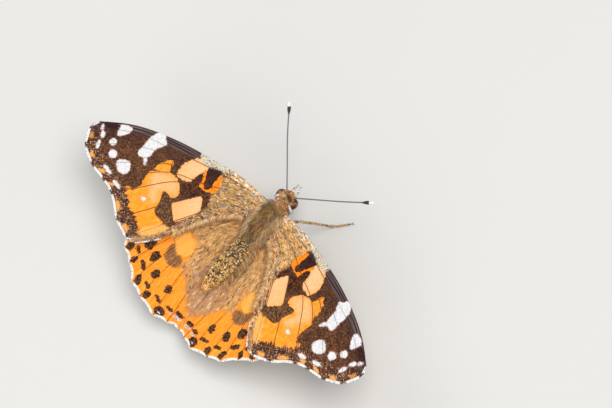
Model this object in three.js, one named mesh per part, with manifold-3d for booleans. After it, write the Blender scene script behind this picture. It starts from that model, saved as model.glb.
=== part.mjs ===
// Painted lady butterfly (Vanessa cardui), life size, still, wings spread.
// Millimetres. +X is the butterfly's right, +Y its front, +Z up. The feet stand on z = 0.
import * as THREE from 'three';
import { mergeVertices } from 'three/addons/utils/BufferGeometryUtils.js';
import Module from 'manifold-3d';

// Driving dimensions
const GAP = 0.3; // clearance between neighbouring pieces
const HINGE_HEIGHT = 9.6; // forewing hinge above the floor
const WING_PITCH = THREE.MathUtils.degToRad(7); // front edge of the wings is higher
const FOREWING_HINGE = new THREE.Vector3(2.5, 0, 0);
const FOREWING_DIHEDRAL = THREE.MathUtils.degToRad(14);
const HINDWING_HINGE = new THREE.Vector3(1.0, 0, -2.1);
const HINDWING_DIHEDRAL = THREE.MathUtils.degToRad(16);
// Turn of each wing in its own plane, in degrees, more than 0 where its tip comes forward
const FOREWING_SWEEP = { left: 0.6, right: -1.8 };
const HINDWING_SWEEP = { left: -0.4, right: 0 };
const MEMBRANE = 0.5; // wing thickness at the margin
const ROOT_MEMBRANE = 0.8; // wing thickness at the root
const VEIN_RIDGE = 0.16; // height of a vein over the membrane, at its root
const VEIN_HALF_WIDTH = 0.28;

const THORAX = { front: 1.7, back: -5.7, halfWidth: 2.6, halfHeight: 2.5, axisZ: -0.9 };
const ABDOMEN = { front: -6.0, back: -17.4, radius: 1.75, frontZ: -0.55, backZ: 0.35, segments: 8 };
const HEAD = { front: 4.5, back: 2.0, halfWidth: 1.75, halfHeight: 1.55, axisZ: -1.75 };
const EYE = { radius: 1.0, x: 1.22, y: 3.15, z: -1.7 };
const ANTENNA = { radius: 0.25, club: 0.46, clubLength: 0.13 };
const PALP = { radius: 0.36, length: 2.1 };
const PROBOSCIS = { radius: 0.2, coil: 0.95, turns: 1.6, pitch: 0.52 };

// Wing charts. Each ray is a vein or a wing edge, listed as (outward, forward) points from the
// root to the margin, and the fourth point of each is at the end of the cell.
const FOREWING_RAYS = {
  costa: [[0.5, 1.0], [5.5, 0.85], [10, 0.1], [17.1, -1.4], [23.8, -3.7], [29.9, -7.9]],
  radius: [[0.5, 0.5], [6, -0.5], [10.5, -1.5], [15.6, -2.8], [22.1, -4.3], [30.35, -9.55]],
  media1: [[0.5, 0.15], [6, -1.2], [10.5, -2.5], [15.4, -3.7], [21.6, -6.2], [28.9, -12.4]],
  media2: [[0.5, -0.2], [5.8, -1.9], [10.3, -3.4], [15, -4.9], [20.3, -9], [25.8, -14.1]],
  media3: [[0.5, -0.55], [5.6, -2.55], [9.8, -4.4], [14.4, -6.1], [18.5, -10], [22.6, -14.7]],
  cubitus1: [[0.5, -0.9], [5.3, -2.95], [9.2, -4.9], [12.9, -6.8], [16.3, -11], [20.1, -15.45]],
  cubitus2: [[0.5, -1.25], [4.7, -3.3], [7.8, -5.5], [10.2, -8.7], [13, -12.8], [16.3, -18.2]],
  anal: [[0.5, -1.65], [3.6, -4], [5.8, -7], [8.1, -10.9], [10.4, -14.8], [13.1, -19.4]],
  inner: [[0.5, -2.2], [2.7, -4.5], [4.8, -7.6], [6.6, -11.2], [8, -14.9], [11.5, -19.1]],
};
const HINDWING_RAYS = {
  costa: [[1.8, -1.2], [5.2, -2.4], [9.6, -5], [13.4, -9.2], [16, -13.6], [17, -16.8]],
  radius: [[1.8, -1.6], [4.9, -3.7], [8.7, -7.2], [12, -11.4], [14.6, -15.2], [16.4, -18.4]],
  media1: [[1.8, -2.0], [4.6, -4.6], [7.9, -8.4], [10.7, -12.4], [13, -16.7], [14.6, -20.7]],
  media2: [[1.8, -2.4], [4.3, -5.4], [7.1, -9.6], [9.4, -13.6], [11.2, -18], [12.4, -22.1]],
  media3: [[1.8, -2.8], [4.0, -6.1], [6.3, -10.6], [8.1, -14.7], [9.3, -19.5], [9.85, -24.3]],
  cubitus1: [[1.8, -3.2], [3.7, -6.8], [5.4, -11.5], [6.6, -15.8], [7.2, -20.3], [7.25, -25.25]],
  cubitus2: [[1.8, -3.6], [3.2, -7.6], [4.2, -12.4], [4.5, -16.6], [4.3, -21.2], [3.6, -26.15]],
  anal: [[1.8, -4.0], [2.1, -8.4], [2.2, -13], [2.0, -17.3], [1.5, -21.6], [1.2, -25.6]],
  inner: [[1.8, -4.6], [-0.2, -7.6], [-0.7, -12], [-0.78, -16.5], [-0.78, -21], [-0.78, -25.2]],
};
// Where along its ray each vein rises out of the membrane
const VEIN_START = {
  radius: 0, media1: 0.6, media2: 0.6, media3: 0, cubitus1: 0.44, cubitus2: 0.32, anal: 0,
};
const CELL_END = 0.6;
const FOREWING_ROWS = [
  0, 0.06, 0.13, 0.2, 0.28, 0.36, 0.44, 0.52, 0.58, 0.6, 0.62, 0.69, 0.76, 0.83, 0.89, 0.95, 1,
];
const HINDWING_ROWS = [
  0, 0.08, 0.16, 0.24, 0.32, 0.4, 0.48, 0.54, 0.585, 0.6, 0.615, 0.68, 0.76, 0.84, 0.92, 1,
];
const FOREWING_SCALLOP = 0.15;
const HINDWING_SCALLOP = 0.4;

// Legs as outward, forward and up from the floor under the hinge line. The right middle leg
// reaches forward past the wing, and the left one stands under it.
const HIND_LEG = {
  hip: [1.5, -3.3, 6.2], knee: [5.2, -6.4, 6.5], ankle: [6.9, -10.0, 1.0], toe: [8.2, -14.0, 0.22],
};
const LEFT_MID_LEG = {
  hip: [1.5, -0.9, 6.5], knee: [5.4, 0.1, 7.5], ankle: [9.4, 0.9, 1.0], toe: [12.4, 0.9, 0.22],
};
const RIGHT_MID_LEG = {
  hip: [1.5, -0.9, 6.5], knee: [3.9, 1.9, 7.4], ankle: [6.4, 5.6, 1.0], toe: [8.7, 8.4, 0.22],
};
const LEGS = {
  left: { mid: LEFT_MID_LEG, hind: HIND_LEG },
  right: { mid: RIGHT_MID_LEG, hind: HIND_LEG },
};
const LEG_RADII = { hip: 0.5, knee: 0.36, ankle: 0.3, toe: 0.24 };
const FORELEG = [[0.75, 1.1, -3.3], [0.95, 2.1, -4.2], [0.8, 0.2, -4.35], [0.7, -1.2, -4.1]];
const FORELEG_RADIUS = 0.28;
const ANTENNA_PATH = {
  left: [[-0.55, 4.0, -1.2], [-3.1, 7.1, -0.3], [-6.6, 11.4, 0.8], [-9.85, 15.8, 1.7]],
  right: [[0.62, 4.0, -1.2], [4.2, 6.1, -0.3], [8.6, 8.95, 0.8], [13.0, 12.05, 1.7]],
};

const COLOURS = {
  orange: 0xd88a3c, hindOrange: 0xe08a2a, olive: 0x7d6a45, tan: 0xb5864f,
  grey: 0x8f8b8a, eye: 0x5b3a24, leg: 0xa98f70, dark: 0x2c211c,
};

const wasm = await Module();
wasm.setup();

/** Welds a geometry by position, drops empty triangles and turns its faces outward. */
function weld(geometry) {
  const bare = geometry.clone();
  bare.deleteAttribute('normal');
  bare.deleteAttribute('uv');
  const merged = mergeVertices(bare, 1e-4);
  const position = merged.attributes.position;
  const corners = [0, 1, 2].map(() => new THREE.Vector3());
  const kept = [];
  let volume = 0;
  for (let i = 0; i < merged.index.count; i += 3) {
    const triangle = [0, 1, 2].map((k) => merged.index.getX(i + k));
    if (new Set(triangle).size < 3) continue;
    corners.forEach((corner, k) => corner.fromBufferAttribute(position, triangle[k]));
    volume += corners[0].dot(corners[1].cross(corners[2]));
    kept.push(triangle);
  }
  const turned = volume < 0 ? kept.map(([a, b, c]) => [a, c, b]) : kept;
  merged.setIndex(turned.flat());
  merged.computeVertexNormals();
  return merged;
}

/** A welded geometry as a solid for joining and cutting. */
function solidOf(geometry) {
  const welded = weld(geometry);
  return new wasm.Manifold(new wasm.Mesh({
    numProp: 3,
    vertProperties: new Float32Array(welded.attributes.position.array),
    triVerts: new Uint32Array(welded.index.array),
  }));
}

/** A solid's surface as a geometry. */
function geometryOf(solid) {
  const mesh = solid.getMesh();
  const geometry = new THREE.BufferGeometry();
  geometry.setAttribute('position', new THREE.Float32BufferAttribute(mesh.vertProperties, 3));
  geometry.setIndex(Array.from(mesh.triVerts));
  return weld(geometry);
}

/** The base geometry less each cutter, keeping its largest piece. */
function cut(base, cutters) {
  const rest = cutters.reduce((solid, cutter) => solid.subtract(solidOf(cutter)), solidOf(base));
  const pieces = rest.decompose();
  pieces.sort((a, b) => b.volume() - a.volume());
  return geometryOf(pieces[0]);
}

/** Moves each vertex of a geometry by a function that changes a Vector3 in place. */
function reshape(geometry, change) {
  const position = geometry.attributes.position;
  const point = new THREE.Vector3();
  for (let i = 0; i < position.count; i += 1) {
    point.fromBufferAttribute(position, i);
    change(point);
    position.setXYZ(i, point.x, point.y, point.z);
  }
  return geometry;
}

/** A lathed body about the Y axis with flat ends: radius(t) from back (0) to front (1). */
function bodyOf(back, front, radius, steps, sides) {
  const profile = [new THREE.Vector2(0, back)];
  for (let i = 0; i <= steps; i += 1) {
    const t = i / steps;
    profile.push(new THREE.Vector2(radius(t), THREE.MathUtils.lerp(back, front, t)));
  }
  profile.push(new THREE.Vector2(0, front));
  return new THREE.LatheGeometry(profile, sides);
}

/** A round tube along points, its radius a function of the share of length gone. */
function tubeAlong(points, radius, steps, sides) {
  const path = new THREE.CatmullRomCurve3(points.map((p) => new THREE.Vector3(...p)));
  const unit = new THREE.Shape().absarc(0, 0, 1, 0, 2 * Math.PI);
  const tube = new THREE.ExtrudeGeometry(unit, {
    steps, curveSegments: sides / 2, extrudePath: path, bevelEnabled: false,
  });
  const centres = path.getSpacedPoints(steps);
  return reshape(tube, (point) => {
    const distances = centres.map((centre) => Math.abs(centre.distanceTo(point) - 1));
    const candidates = distances.map((d, i) => [d, i]).filter(([d]) => d < 1e-3);
    const [, nearest] = candidates.sort((a, b) => a[0] - b[0])[0] ?? [0, 0];
    point.sub(centres[nearest]).multiplyScalar(radius(nearest / steps)).add(centres[nearest]);
  });
}

/** A straight limb piece whose end faces lie on given planes (point and normal). */
function limb(start, end, startRadius, endRadius, startPlane, endPlane, sides = 10) {
  const axis = end.clone().sub(start).normalize();
  const turn = new THREE.Quaternion().setFromUnitVectors(new THREE.Vector3(0, 1, 0), axis);
  const shape = new THREE.CylinderGeometry(1, 1, 2, sides, 1);
  return reshape(shape, (point) => {
    const atEnd = point.y > 0;
    const radius = atEnd ? endRadius : startRadius;
    const plane = atEnd ? endPlane : startPlane;
    point.set(point.x * radius, 0, point.z * radius).applyQuaternion(turn).add(atEnd ? end : start);
    const slide = plane.normal.dot(plane.point.clone().sub(point)) / plane.normal.dot(axis);
    point.addScaledVector(axis, slide);
  });
}

/** The plane at a joint between two limb directions, moved along its normal by an offset. */
function jointPlane(joint, before, after, offset) {
  const normal = before.clone().add(after).normalize();
  return { point: joint.clone().addScaledVector(normal, offset), normal };
}

const smoothstep = THREE.MathUtils.smoothstep;

/** Forewing chart point to body space, for the right wing. */
function placeForewing(outward, forward, lift) {
  const tipDroop = 0.9 * smoothstep(outward, 16, 31) ** 2;
  const edgeDroop = 0.35 * smoothstep(forward + 0.32 * outward, -1.5, 2.5);
  const z = outward * Math.sin(FOREWING_DIHEDRAL) - tipDroop - edgeDroop + lift;
  return new THREE.Vector3(outward * Math.cos(FOREWING_DIHEDRAL), forward, z).add(FOREWING_HINGE);
}

/** Hindwing chart point to body space: the inner part dips into the fold under the abdomen. */
function placeHindwing(outward, forward, lift) {
  const fold = 0.6 * (1 - smoothstep(outward, -0.8, 3.6));
  const z = outward * Math.sin(HINDWING_DIHEDRAL) - fold + lift;
  return new THREE.Vector3(outward * Math.cos(HINDWING_DIHEDRAL), forward, z).add(HINDWING_HINGE);
}

/**
 * The columns of a wing's grid: for each vein a crest with a flank on each side, and one column
 * midway between veins. Each column gives chart points and its ridge height along the rows.
 */
function wingColumns(rays, scallop) {
  const names = Object.keys(rays);
  const curves = names.map((name) => new THREE.CatmullRomCurve3(
    rays[name].map(([outward, forward]) => new THREE.Vector3(outward, forward, 0))));
  const margin = new THREE.CatmullRomCurve3(curves.map((curve) => curve.getPoint(1)));
  const columns = [];
  const between = (left, share) => (t) => {
    const a = curves[left].getPoint(t);
    const b = curves[left + 1].getPoint(t);
    const flank = Math.min(VEIN_HALF_WIDTH / Math.max(a.distanceTo(b), 1e-6), 0.3);
    const weight = share === 'near' ? flank : share === 'far' ? 1 - flank : 0.5;
    const point = a.clone().lerp(b, weight);
    const edge = margin.getPoint((left + weight) / (names.length - 1)).sub(a.clone().lerp(b, weight));
    const inward = a.clone().sub(curves[left].getPoint(Math.max(t - 0.1, 0))).setZ(0).normalize();
    const dip = scallop * 4 * weight * (1 - weight) * t ** 6;
    return point.addScaledVector(edge, t ** 6).addScaledVector(inward, -dip);
  };
  names.forEach((name, i) => {
    const start = VEIN_START[name];
    const crest = (t) => (start === undefined || t < start ? 0 : VEIN_RIDGE * (1 - 0.55 * t));
    columns.push({ at: (t) => curves[i].getPoint(t), ridge: crest });
    if (i === names.length - 1) return;
    const acrossCell = i >= 1 && i <= 3;
    const cellRidge = (t) => (acrossCell && Math.abs(t - CELL_END) < 1e-6 ? 0.6 * VEIN_RIDGE : 0);
    for (const share of ['near', 'middle', 'far']) {
      columns.push({ at: between(i, share), ridge: cellRidge });
    }
  });
  return columns;
}

/** A closed wing: the same grid above and below the chart, and a rim round both. */
function wing(rays, rows, scallop, place, side, sweep) {
  const columns = wingColumns(rays, scallop);
  const wide = columns.length;
  const vertices = [];
  for (const face of [1, -1]) {
    for (const t of rows) {
      for (const column of columns) {
        const chart = column.at(t).applyAxisAngle(new THREE.Vector3(0, 0, 1), sweep);
        const half = THREE.MathUtils.lerp(ROOT_MEMBRANE, MEMBRANE, smoothstep(t, 0, 0.45)) / 2;
        const point = place(chart.x, chart.y, face * (half + column.ridge(t)));
        vertices.push(point.x * side, point.y, point.z);
      }
    }
  }
  const below = rows.length * wide;
  const indices = [];
  for (let r = 0; r + 1 < rows.length; r += 1) {
    for (let c = 0; c + 1 < wide; c += 1) {
      const a = r * wide + c;
      const [b, d, e] = [a + 1, a + wide, a + wide + 1];
      indices.push(a, d, b, b, d, e);
      indices.push(below + a, below + b, below + d, below + b, below + e, below + d);
    }
  }
  const rim = [];
  for (let c = 0; c < wide; c += 1) rim.push(c);
  for (let r = 1; r < rows.length; r += 1) rim.push(r * wide + wide - 1);
  for (let c = wide - 2; c >= 0; c -= 1) rim.push((rows.length - 1) * wide + c);
  for (let r = rows.length - 2; r >= 1; r -= 1) rim.push(r * wide);
  rim.forEach((a, i) => {
    const b = rim[(i + 1) % rim.length];
    indices.push(a, b, below + a, b, below + b, below + a);
  });
  const geometry = new THREE.BufferGeometry();
  geometry.setAttribute('position', new THREE.Float32BufferAttribute(vertices, 3));
  geometry.setIndex(indices);
  return weld(geometry);
}

/** One leg as three limb pieces that meet face to face at the knee and the ankle. */
function legPieces(places, side) {
  const [hip, knee, ankle, toe] = ['hip', 'knee', 'ankle', 'toe'].map(
    (name) => new THREE.Vector3(places[name][0] * side, places[name][1], places[name][2]));
  const [thigh, shin, foot] = [[hip, knee], [knee, ankle], [ankle, toe]].map(
    ([from, to]) => to.clone().sub(from).normalize());
  const half = GAP / 2;
  const femur = limb(hip, knee, LEG_RADII.hip, LEG_RADII.knee,
    { point: hip, normal: thigh }, jointPlane(knee, thigh, shin, -half));
  const tibia = limb(knee, ankle, LEG_RADII.knee, LEG_RADII.ankle,
    jointPlane(knee, thigh, shin, half), jointPlane(ankle, shin, foot, -half));
  const socket = limb(hip.clone().addScaledVector(thigh, -GAP), knee, LEG_RADII.hip + GAP,
    LEG_RADII.knee + GAP, { point: hip.clone().addScaledVector(thigh, -GAP), normal: thigh },
    { point: knee, normal: thigh });
  return { femur, tibia, tarsus: tarsusOf(ankle, toe, jointPlane(ankle, shin, foot, half)), socket };
}

/** The foot: a tapered round bar pressed flat where it lies on the floor. */
function tarsusOf(ankle, toe, anklePlane) {
  const heel = ankle.clone().lerp(toe, 0.32).setZ(toe.z);
  const rings = 7;
  const sides = 10;
  const path = new THREE.CatmullRomCurve3([ankle, heel, toe.clone().lerp(heel, 0.5), toe]);
  const vertices = [];
  for (let i = 0; i < rings; i += 1) {
    const t = i / (rings - 1);
    const centre = path.getPoint(t);
    const along = path.getTangent(t);
    const across = new THREE.Vector3(-along.y, along.x, 0).normalize();
    const up = along.clone().cross(across).negate();
    const tip = t === 1 ? 0.55 : 1;
    const radius = THREE.MathUtils.lerp(LEG_RADII.ankle, LEG_RADII.toe, t) * tip;
    for (let k = 0; k < sides; k += 1) {
      const angle = (2 * Math.PI * k) / sides;
      const point = centre.clone().addScaledVector(across, radius * Math.cos(angle))
        .addScaledVector(up, radius * Math.sin(angle));
      if (i === 0) {
        const { normal } = anklePlane;
        point.addScaledVector(along, normal.dot(anklePlane.point.clone().sub(point)) / normal.dot(along));
      }
      vertices.push(point.x, point.y, Math.max(point.z, 0));
    }
  }
  const indices = [];
  for (let i = 0; i + 1 < rings; i += 1) {
    for (let k = 0; k < sides; k += 1) {
      const a = i * sides + k;
      const b = i * sides + ((k + 1) % sides);
      indices.push(a, b, a + sides, b, b + sides, a + sides);
    }
  }
  const last = (rings - 1) * sides;
  for (let k = 1; k + 1 < sides; k += 1) {
    indices.push(0, k + 1, k, last, last + k, last + k + 1);
  }
  const geometry = new THREE.BufferGeometry();
  geometry.setAttribute('position', new THREE.Float32BufferAttribute(vertices, 3));
  geometry.setIndex(indices);
  return weld(geometry);
}

/** Thorax: a deep oval barrel with flat ends, fullest between the wings. */
function thoraxBody() {
  const { front, back, halfWidth, halfHeight, axisZ } = THORAX;
  const radius = (t) => {
    const bulge = Math.sqrt(Math.max(1 - Math.abs(2 * t - 1.08) ** 2.6, 0.22));
    return THREE.MathUtils.lerp(bulge, 1, 0.12);
  };
  return reshape(bodyOf(back, front, radius, 16, 22), (point) => {
    const sag = 0.3 * smoothstep(point.y, -1, front);
    point.x *= halfWidth;
    point.z = point.z * halfHeight + axisZ - sag;
  });
}

/** Abdomen: a long spindle with a shallow groove between its segments. */
function abdomenBody() {
  const { front, back, radius, frontZ, backZ, segments } = ABDOMEN;
  const steps = segments * 4;
  const shape = (t) => {
    const along = 1 - t;
    const spindle = Math.sqrt(Math.max(1 - along ** 3.2, 0.015)) * (0.86 + 0.14 * Math.sin(Math.PI * along));
    const groove = (Math.round(t * steps) % 4 === 0) ? 0.95 : 1;
    return radius * spindle * groove;
  };
  return reshape(bodyOf(back, front, shape, steps, 20), (point) => {
    point.z += THREE.MathUtils.lerp(backZ, frontZ, (point.y - back) / (front - back));
  });
}

/** Head: a short wide ball with a flat neck face. */
function headBody() {
  const { front, back, halfWidth, halfHeight, axisZ } = HEAD;
  const radius = (t) => Math.sqrt(Math.max(1 - Math.abs(1.72 * t - 0.72) ** 2.4, 0.06));
  return reshape(bodyOf(back, front, radius, 12, 24), (point) => {
    point.x *= halfWidth;
    point.z = point.z * halfHeight + axisZ;
  });
}

/** A palp: a furred snout lobe that points forward. */
function palp(side, grow) {
  const root = [0.42 * side, 3.9, -2.3];
  const bend = [0.46 * side, 4.9, -2.45];
  const tip = [0.34 * side, 4.2 + PALP.length, -2.4];
  const radius = (t) => PALP.radius * (t < 0.5 ? 1 : 1.55 - 1.1 * t) + grow;
  return tubeAlong([root, bend, tip], radius, 8, 8);
}

/** An antenna: a thin rod that thickens into a club near its tip. */
function antenna(side, grow) {
  const radius = (t) => {
    const swell = smoothstep(t, 1 - 1.5 * ANTENNA.clubLength, 1 - 0.5 * ANTENNA.clubLength);
    const close = t === 1 ? 0.6 : 1;
    return THREE.MathUtils.lerp(ANTENNA.radius, ANTENNA.club, swell) * close + grow;
  };
  return tubeAlong(ANTENNA_PATH[side], radius, 26, 8);
}

/** The proboscis: a flat coil under the head, between the palps. */
function proboscis(grow) {
  const { coil, turns, pitch } = PROBOSCIS;
  const points = [];
  const count = 20;
  for (let i = 0; i <= count; i += 1) {
    const angle = (2 * Math.PI * turns * i) / count;
    const radius = coil - (pitch * angle) / (2 * Math.PI);
    points.push([0, 3.75 - radius * Math.sin(angle) * 0.9, -4.35 + radius * Math.cos(angle)]);
  }
  return tubeAlong([[0, 3.9, -2.9], ...points], (t) => PROBOSCIS.radius * (1 - 0.35 * t) + grow, 32, 6);
}

/** A reduced foreleg folded under the front of the thorax. */
function foreleg(side, grow) {
  const points = FORELEG.map(([x, y, z]) => [x * side, y, z]);
  return tubeAlong(points, (t) => FORELEG_RADIUS * (1 - 0.3 * t) + grow, 14, 8);
}

/** A named mesh with its own material. */
function piece(name, geometry, colour, roughness = 0.8) {
  const material = new THREE.MeshStandardMaterial({ color: colour, roughness, metalness: 0 });
  const mesh = new THREE.Mesh(geometry, material);
  mesh.name = name;
  return mesh;
}

const SIDES = { left: -1, right: 1 };
const model = new THREE.Group();
const body = new THREE.Group();
body.position.set(0, 0, HINGE_HEIGHT);
body.rotation.x = WING_PITCH;
model.add(body);
body.updateMatrixWorld();

// Legs stand in floor space, and their sockets are taken out of the thorax in body space
const toBody = body.matrixWorld.clone().invert();
const sockets = [];
for (const [side, sign] of Object.entries(SIDES)) {
  for (const [leg, places] of Object.entries(LEGS[side])) {
    const { femur, tibia, tarsus, socket } = legPieces(places, sign);
    sockets.push(socket.applyMatrix4(toBody));
    model.add(piece(`${leg}leg_femur_${side}`, weld(femur), COLOURS.leg));
    model.add(piece(`${leg}leg_tibia_${side}`, weld(tibia), COLOURS.leg));
    model.add(piece(`${leg}leg_tarsus_${side}`, tarsus, COLOURS.leg));
  }
  sockets.push(foreleg(sign, GAP));
  body.add(piece(`foreleg_${side}`, weld(foreleg(sign, 0)), COLOURS.tan));
}

body.add(piece('thorax', cut(thoraxBody(), sockets), COLOURS.olive));
body.add(piece('abdomen', weld(abdomenBody()), COLOURS.tan));

// Head and what it carries
const headCutters = [proboscis(GAP)];
for (const [side, sign] of Object.entries(SIDES)) {
  const eye = new THREE.SphereGeometry(EYE.radius, 18, 12).translate(EYE.x * sign, EYE.y, EYE.z);
  const orbit = new THREE.SphereGeometry(EYE.radius + GAP, 14, 10).translate(EYE.x * sign, EYE.y, EYE.z);
  headCutters.push(orbit, palp(sign, GAP), antenna(side, GAP));
  body.add(piece(`eye_${side}`, weld(eye), COLOURS.eye, 0.4));
  body.add(piece(`palp_${side}`, weld(palp(sign, 0)), COLOURS.grey));
  body.add(piece(`antenna_${side}`, weld(antenna(side, 0)), COLOURS.dark, 0.6));
}
body.add(piece('head', cut(headBody(), headCutters), COLOURS.tan));
body.add(piece('proboscis', weld(proboscis(0)), COLOURS.dark, 0.5));

// Wings
for (const [side, sign] of Object.entries(SIDES)) {
  const fore = wing(FOREWING_RAYS, FOREWING_ROWS, FOREWING_SCALLOP, placeForewing, sign,
    THREE.MathUtils.degToRad(FOREWING_SWEEP[side]));
  const hind = wing(HINDWING_RAYS, HINDWING_ROWS, HINDWING_SCALLOP, placeHindwing, sign,
    THREE.MathUtils.degToRad(HINDWING_SWEEP[side]));
  body.add(piece(`forewing_${side}`, fore, COLOURS.orange));
  body.add(piece(`hindwing_${side}`, hind, COLOURS.hindOrange));
}

// The origin is the middle of the model's box, on the floor
model.updateMatrixWorld(true);
const box = new THREE.Box3().setFromObject(model, true);
model.position.set(-(box.min.x + box.max.x) / 2, -(box.min.y + box.max.y) / 2, 0);

export default model;
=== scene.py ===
"""A painted lady butterfly at life size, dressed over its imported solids.

Every length is in millimetres on the insect's own axes, x to its right, y forward
and z up from the middle of the forewing hinge line. BodyFrame.place turns them
into metres in the frame.
"""
import logging
import math
from dataclasses import dataclass, field
from enum import Enum
from typing import Sequence

import bpy
import numpy as np
from mathutils import Matrix, Vector


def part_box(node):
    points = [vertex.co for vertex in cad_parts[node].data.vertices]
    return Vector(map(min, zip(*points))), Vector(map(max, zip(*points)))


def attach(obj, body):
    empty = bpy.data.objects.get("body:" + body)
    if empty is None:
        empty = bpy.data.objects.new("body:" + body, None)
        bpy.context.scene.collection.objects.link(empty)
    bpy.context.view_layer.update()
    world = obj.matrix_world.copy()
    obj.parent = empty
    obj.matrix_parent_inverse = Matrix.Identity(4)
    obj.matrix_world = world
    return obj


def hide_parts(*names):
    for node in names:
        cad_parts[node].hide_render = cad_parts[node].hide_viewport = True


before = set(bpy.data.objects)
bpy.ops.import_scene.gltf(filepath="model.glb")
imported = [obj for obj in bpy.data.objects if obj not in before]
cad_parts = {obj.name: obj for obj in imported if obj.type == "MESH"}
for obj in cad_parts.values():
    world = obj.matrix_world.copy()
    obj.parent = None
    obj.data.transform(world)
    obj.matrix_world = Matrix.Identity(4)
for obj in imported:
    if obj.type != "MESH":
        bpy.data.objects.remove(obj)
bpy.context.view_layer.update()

Array = np.ndarray
Point = tuple[float, float]
Point3 = tuple[float, float, float]
Outline = list[Point]
Colour = tuple[float, float, float, float]
LOG = logging.getLogger("painted_lady")
SEED = 20
IMAGE_SIZE = (612, 408)


class Slot(Enum):
    """Material slot names."""

    HEAD = "head_fur"
    EYE = "eye"
    PALP = "palp_fur"
    ANTENNA = "antenna"
    PROBOSCIS = "proboscis"
    THORAX = "thorax_fur"
    ABDOMEN = "abdomen_fur"
    FOREWING = "forewing_scales"
    HINDWING = "hindwing_scales"
    FORELEG = "foreleg_fur"
    LEG = "leg_cuticle"


class Side(Enum):
    """A side of the insect, with the sign of its x."""

    LEFT = -1
    RIGHT = 1

    @property
    def word(self) -> str:
        """The side's name in piece and node names."""
        return self.name.lower()


class Hue(Enum):
    """Colours of single scales and hairs, as screen red, green and blue."""

    BLACK = (40, 27, 20)
    UMBER = (92, 60, 34)
    OLIVE = (130, 106, 62)
    TAN = (206, 152, 90)
    STRAW = (232, 188, 116)
    CREAM = (242, 222, 186)
    MAUVE = (192, 144, 108)
    SLATE = (126, 130, 140)
    WHITE = (248, 246, 246)
    ORANGE = (244, 154, 52)
    RUST = (172, 98, 46)
    LILAC = (204, 194, 212)

    @property
    def shade(self) -> float:
        """The hue's place on the coat's colour ramp, from 0 to 1."""
        return (list(Hue).index(self) + 0.5) / len(Hue)


HueMix = list[tuple[Hue, "Array | float"]]


def tone(red: float, green: float, blue: float) -> Colour:
    """A screen colour from 0 to 255 as the linear colour that a shader takes."""
    shares = np.array([red, green, blue]) / 255
    linear = np.where(shares <= 0.04045, shares / 12.92, ((shares + 0.055) / 1.055) ** 2.4)
    return (*(float(v) for v in linear), 1.0)


# Shapes as whole arrays


def smoothstep(value: Array, low: float, high: float) -> Array:
    """0 below low, 1 above high, and 3s² - 2s³ of the share s between them."""
    share = np.clip((value - low) / (high - low), 0, 1)
    return share * share * (3 - 2 * share)


def unit(vectors: Array) -> Array:
    """Each vector divided by its own length."""
    return vectors / np.maximum(np.linalg.norm(vectors, axis=-1, keepdims=True), 1e-9)


def spot(x: Array, y: Array, centre: Point, reach: Point) -> Array:
    """A round mark that fades as e to the minus squared distance, in units of its reach.

    Args:
        x: The first coordinate of each point.
        y: The second coordinate.
        centre: The middle of the mark.
        reach: How far it reaches along each axis.

    Returns:
        A strength from 0 to 1 for each point.
    """
    return np.exp(-(((x - centre[0]) / reach[0]) ** 2) - ((y - centre[1]) / reach[1]) ** 2)


def catmull_rom(points: Sequence[Sequence[float]], shares: Array) -> Array:
    """Points on a centripetal Catmull-Rom curve.

    Each span is a cubic between two points. Its end slopes are the divided
    differences over spacings that are the square roots of the chord lengths.

    Args:
        points: The points that the curve passes through.
        shares: Places along the curve, 0 at the first point and 1 at the last.

    Returns:
        One point for each share.
    """
    knots = np.asarray(points, float)
    padded = np.vstack([2 * knots[0] - knots[1], knots, 2 * knots[-1] - knots[-2]])
    place = np.clip(shares, 0, 1) * (len(knots) - 1)
    span = np.minimum(place.astype(int), len(knots) - 2)
    w = (place - span)[:, None]
    a, b, c, d = (padded[span + k] for k in range(4))
    ab, bc, cd = (np.sqrt(np.maximum(np.linalg.norm(q - p, axis=1, keepdims=True), 1e-9))
                  for p, q in ((a, b), (b, c), (c, d)))
    start = ((b - a) / ab - (c - a) / (ab + bc) + (c - b) / bc) * bc
    end = ((c - b) / bc - (d - b) / (bc + cd) + (d - c) / cd) * bc
    return (b + start * w + (3 * (c - b) - 2 * start - end) * w**2
            + (2 * (b - c) + start + end) * w**3)


def grid_quads(rows: int, columns: int, closed: bool = False) -> Array:
    """The four corners of every cell of a grid whose points are stored row by row.

    Args:
        rows: Number of rows of points.
        columns: Number of points in a row.
        closed: Whether the last column joins the first.

    Returns:
        An array of four point numbers for each cell.
    """
    r, c = np.meshgrid(np.arange(rows - 1), np.arange(columns if closed else columns - 1),
                       indexing="ij")
    after = (c + 1) % columns
    cells = (r * columns + c, r * columns + after,
             (r + 1) * columns + after, (r + 1) * columns + c)
    return np.stack([corner.ravel() for corner in cells], axis=1)


@dataclass
class Shape:
    """A mesh in the making: points, faces by corner count, and values for each point."""

    points: Array
    faces: list[Array]
    values: dict[str, Array] = field(default_factory=dict)
    unwrap: Array | None = None

    def outward(self) -> "Shape":
        """Turns the faces out, so that the sum of a · (b × c) over the faces is positive."""
        volume = 0.0
        for group in self.faces:
            corners = self.points[group]
            for k in range(1, group.shape[1] - 1):
                cross = np.cross(corners[:, k], corners[:, k + 1])
                volume += float(np.einsum("ij,ij->", corners[:, 0], cross))
        if volume < 0:
            self.faces = [group[:, ::-1] for group in self.faces]
        return self


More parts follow.
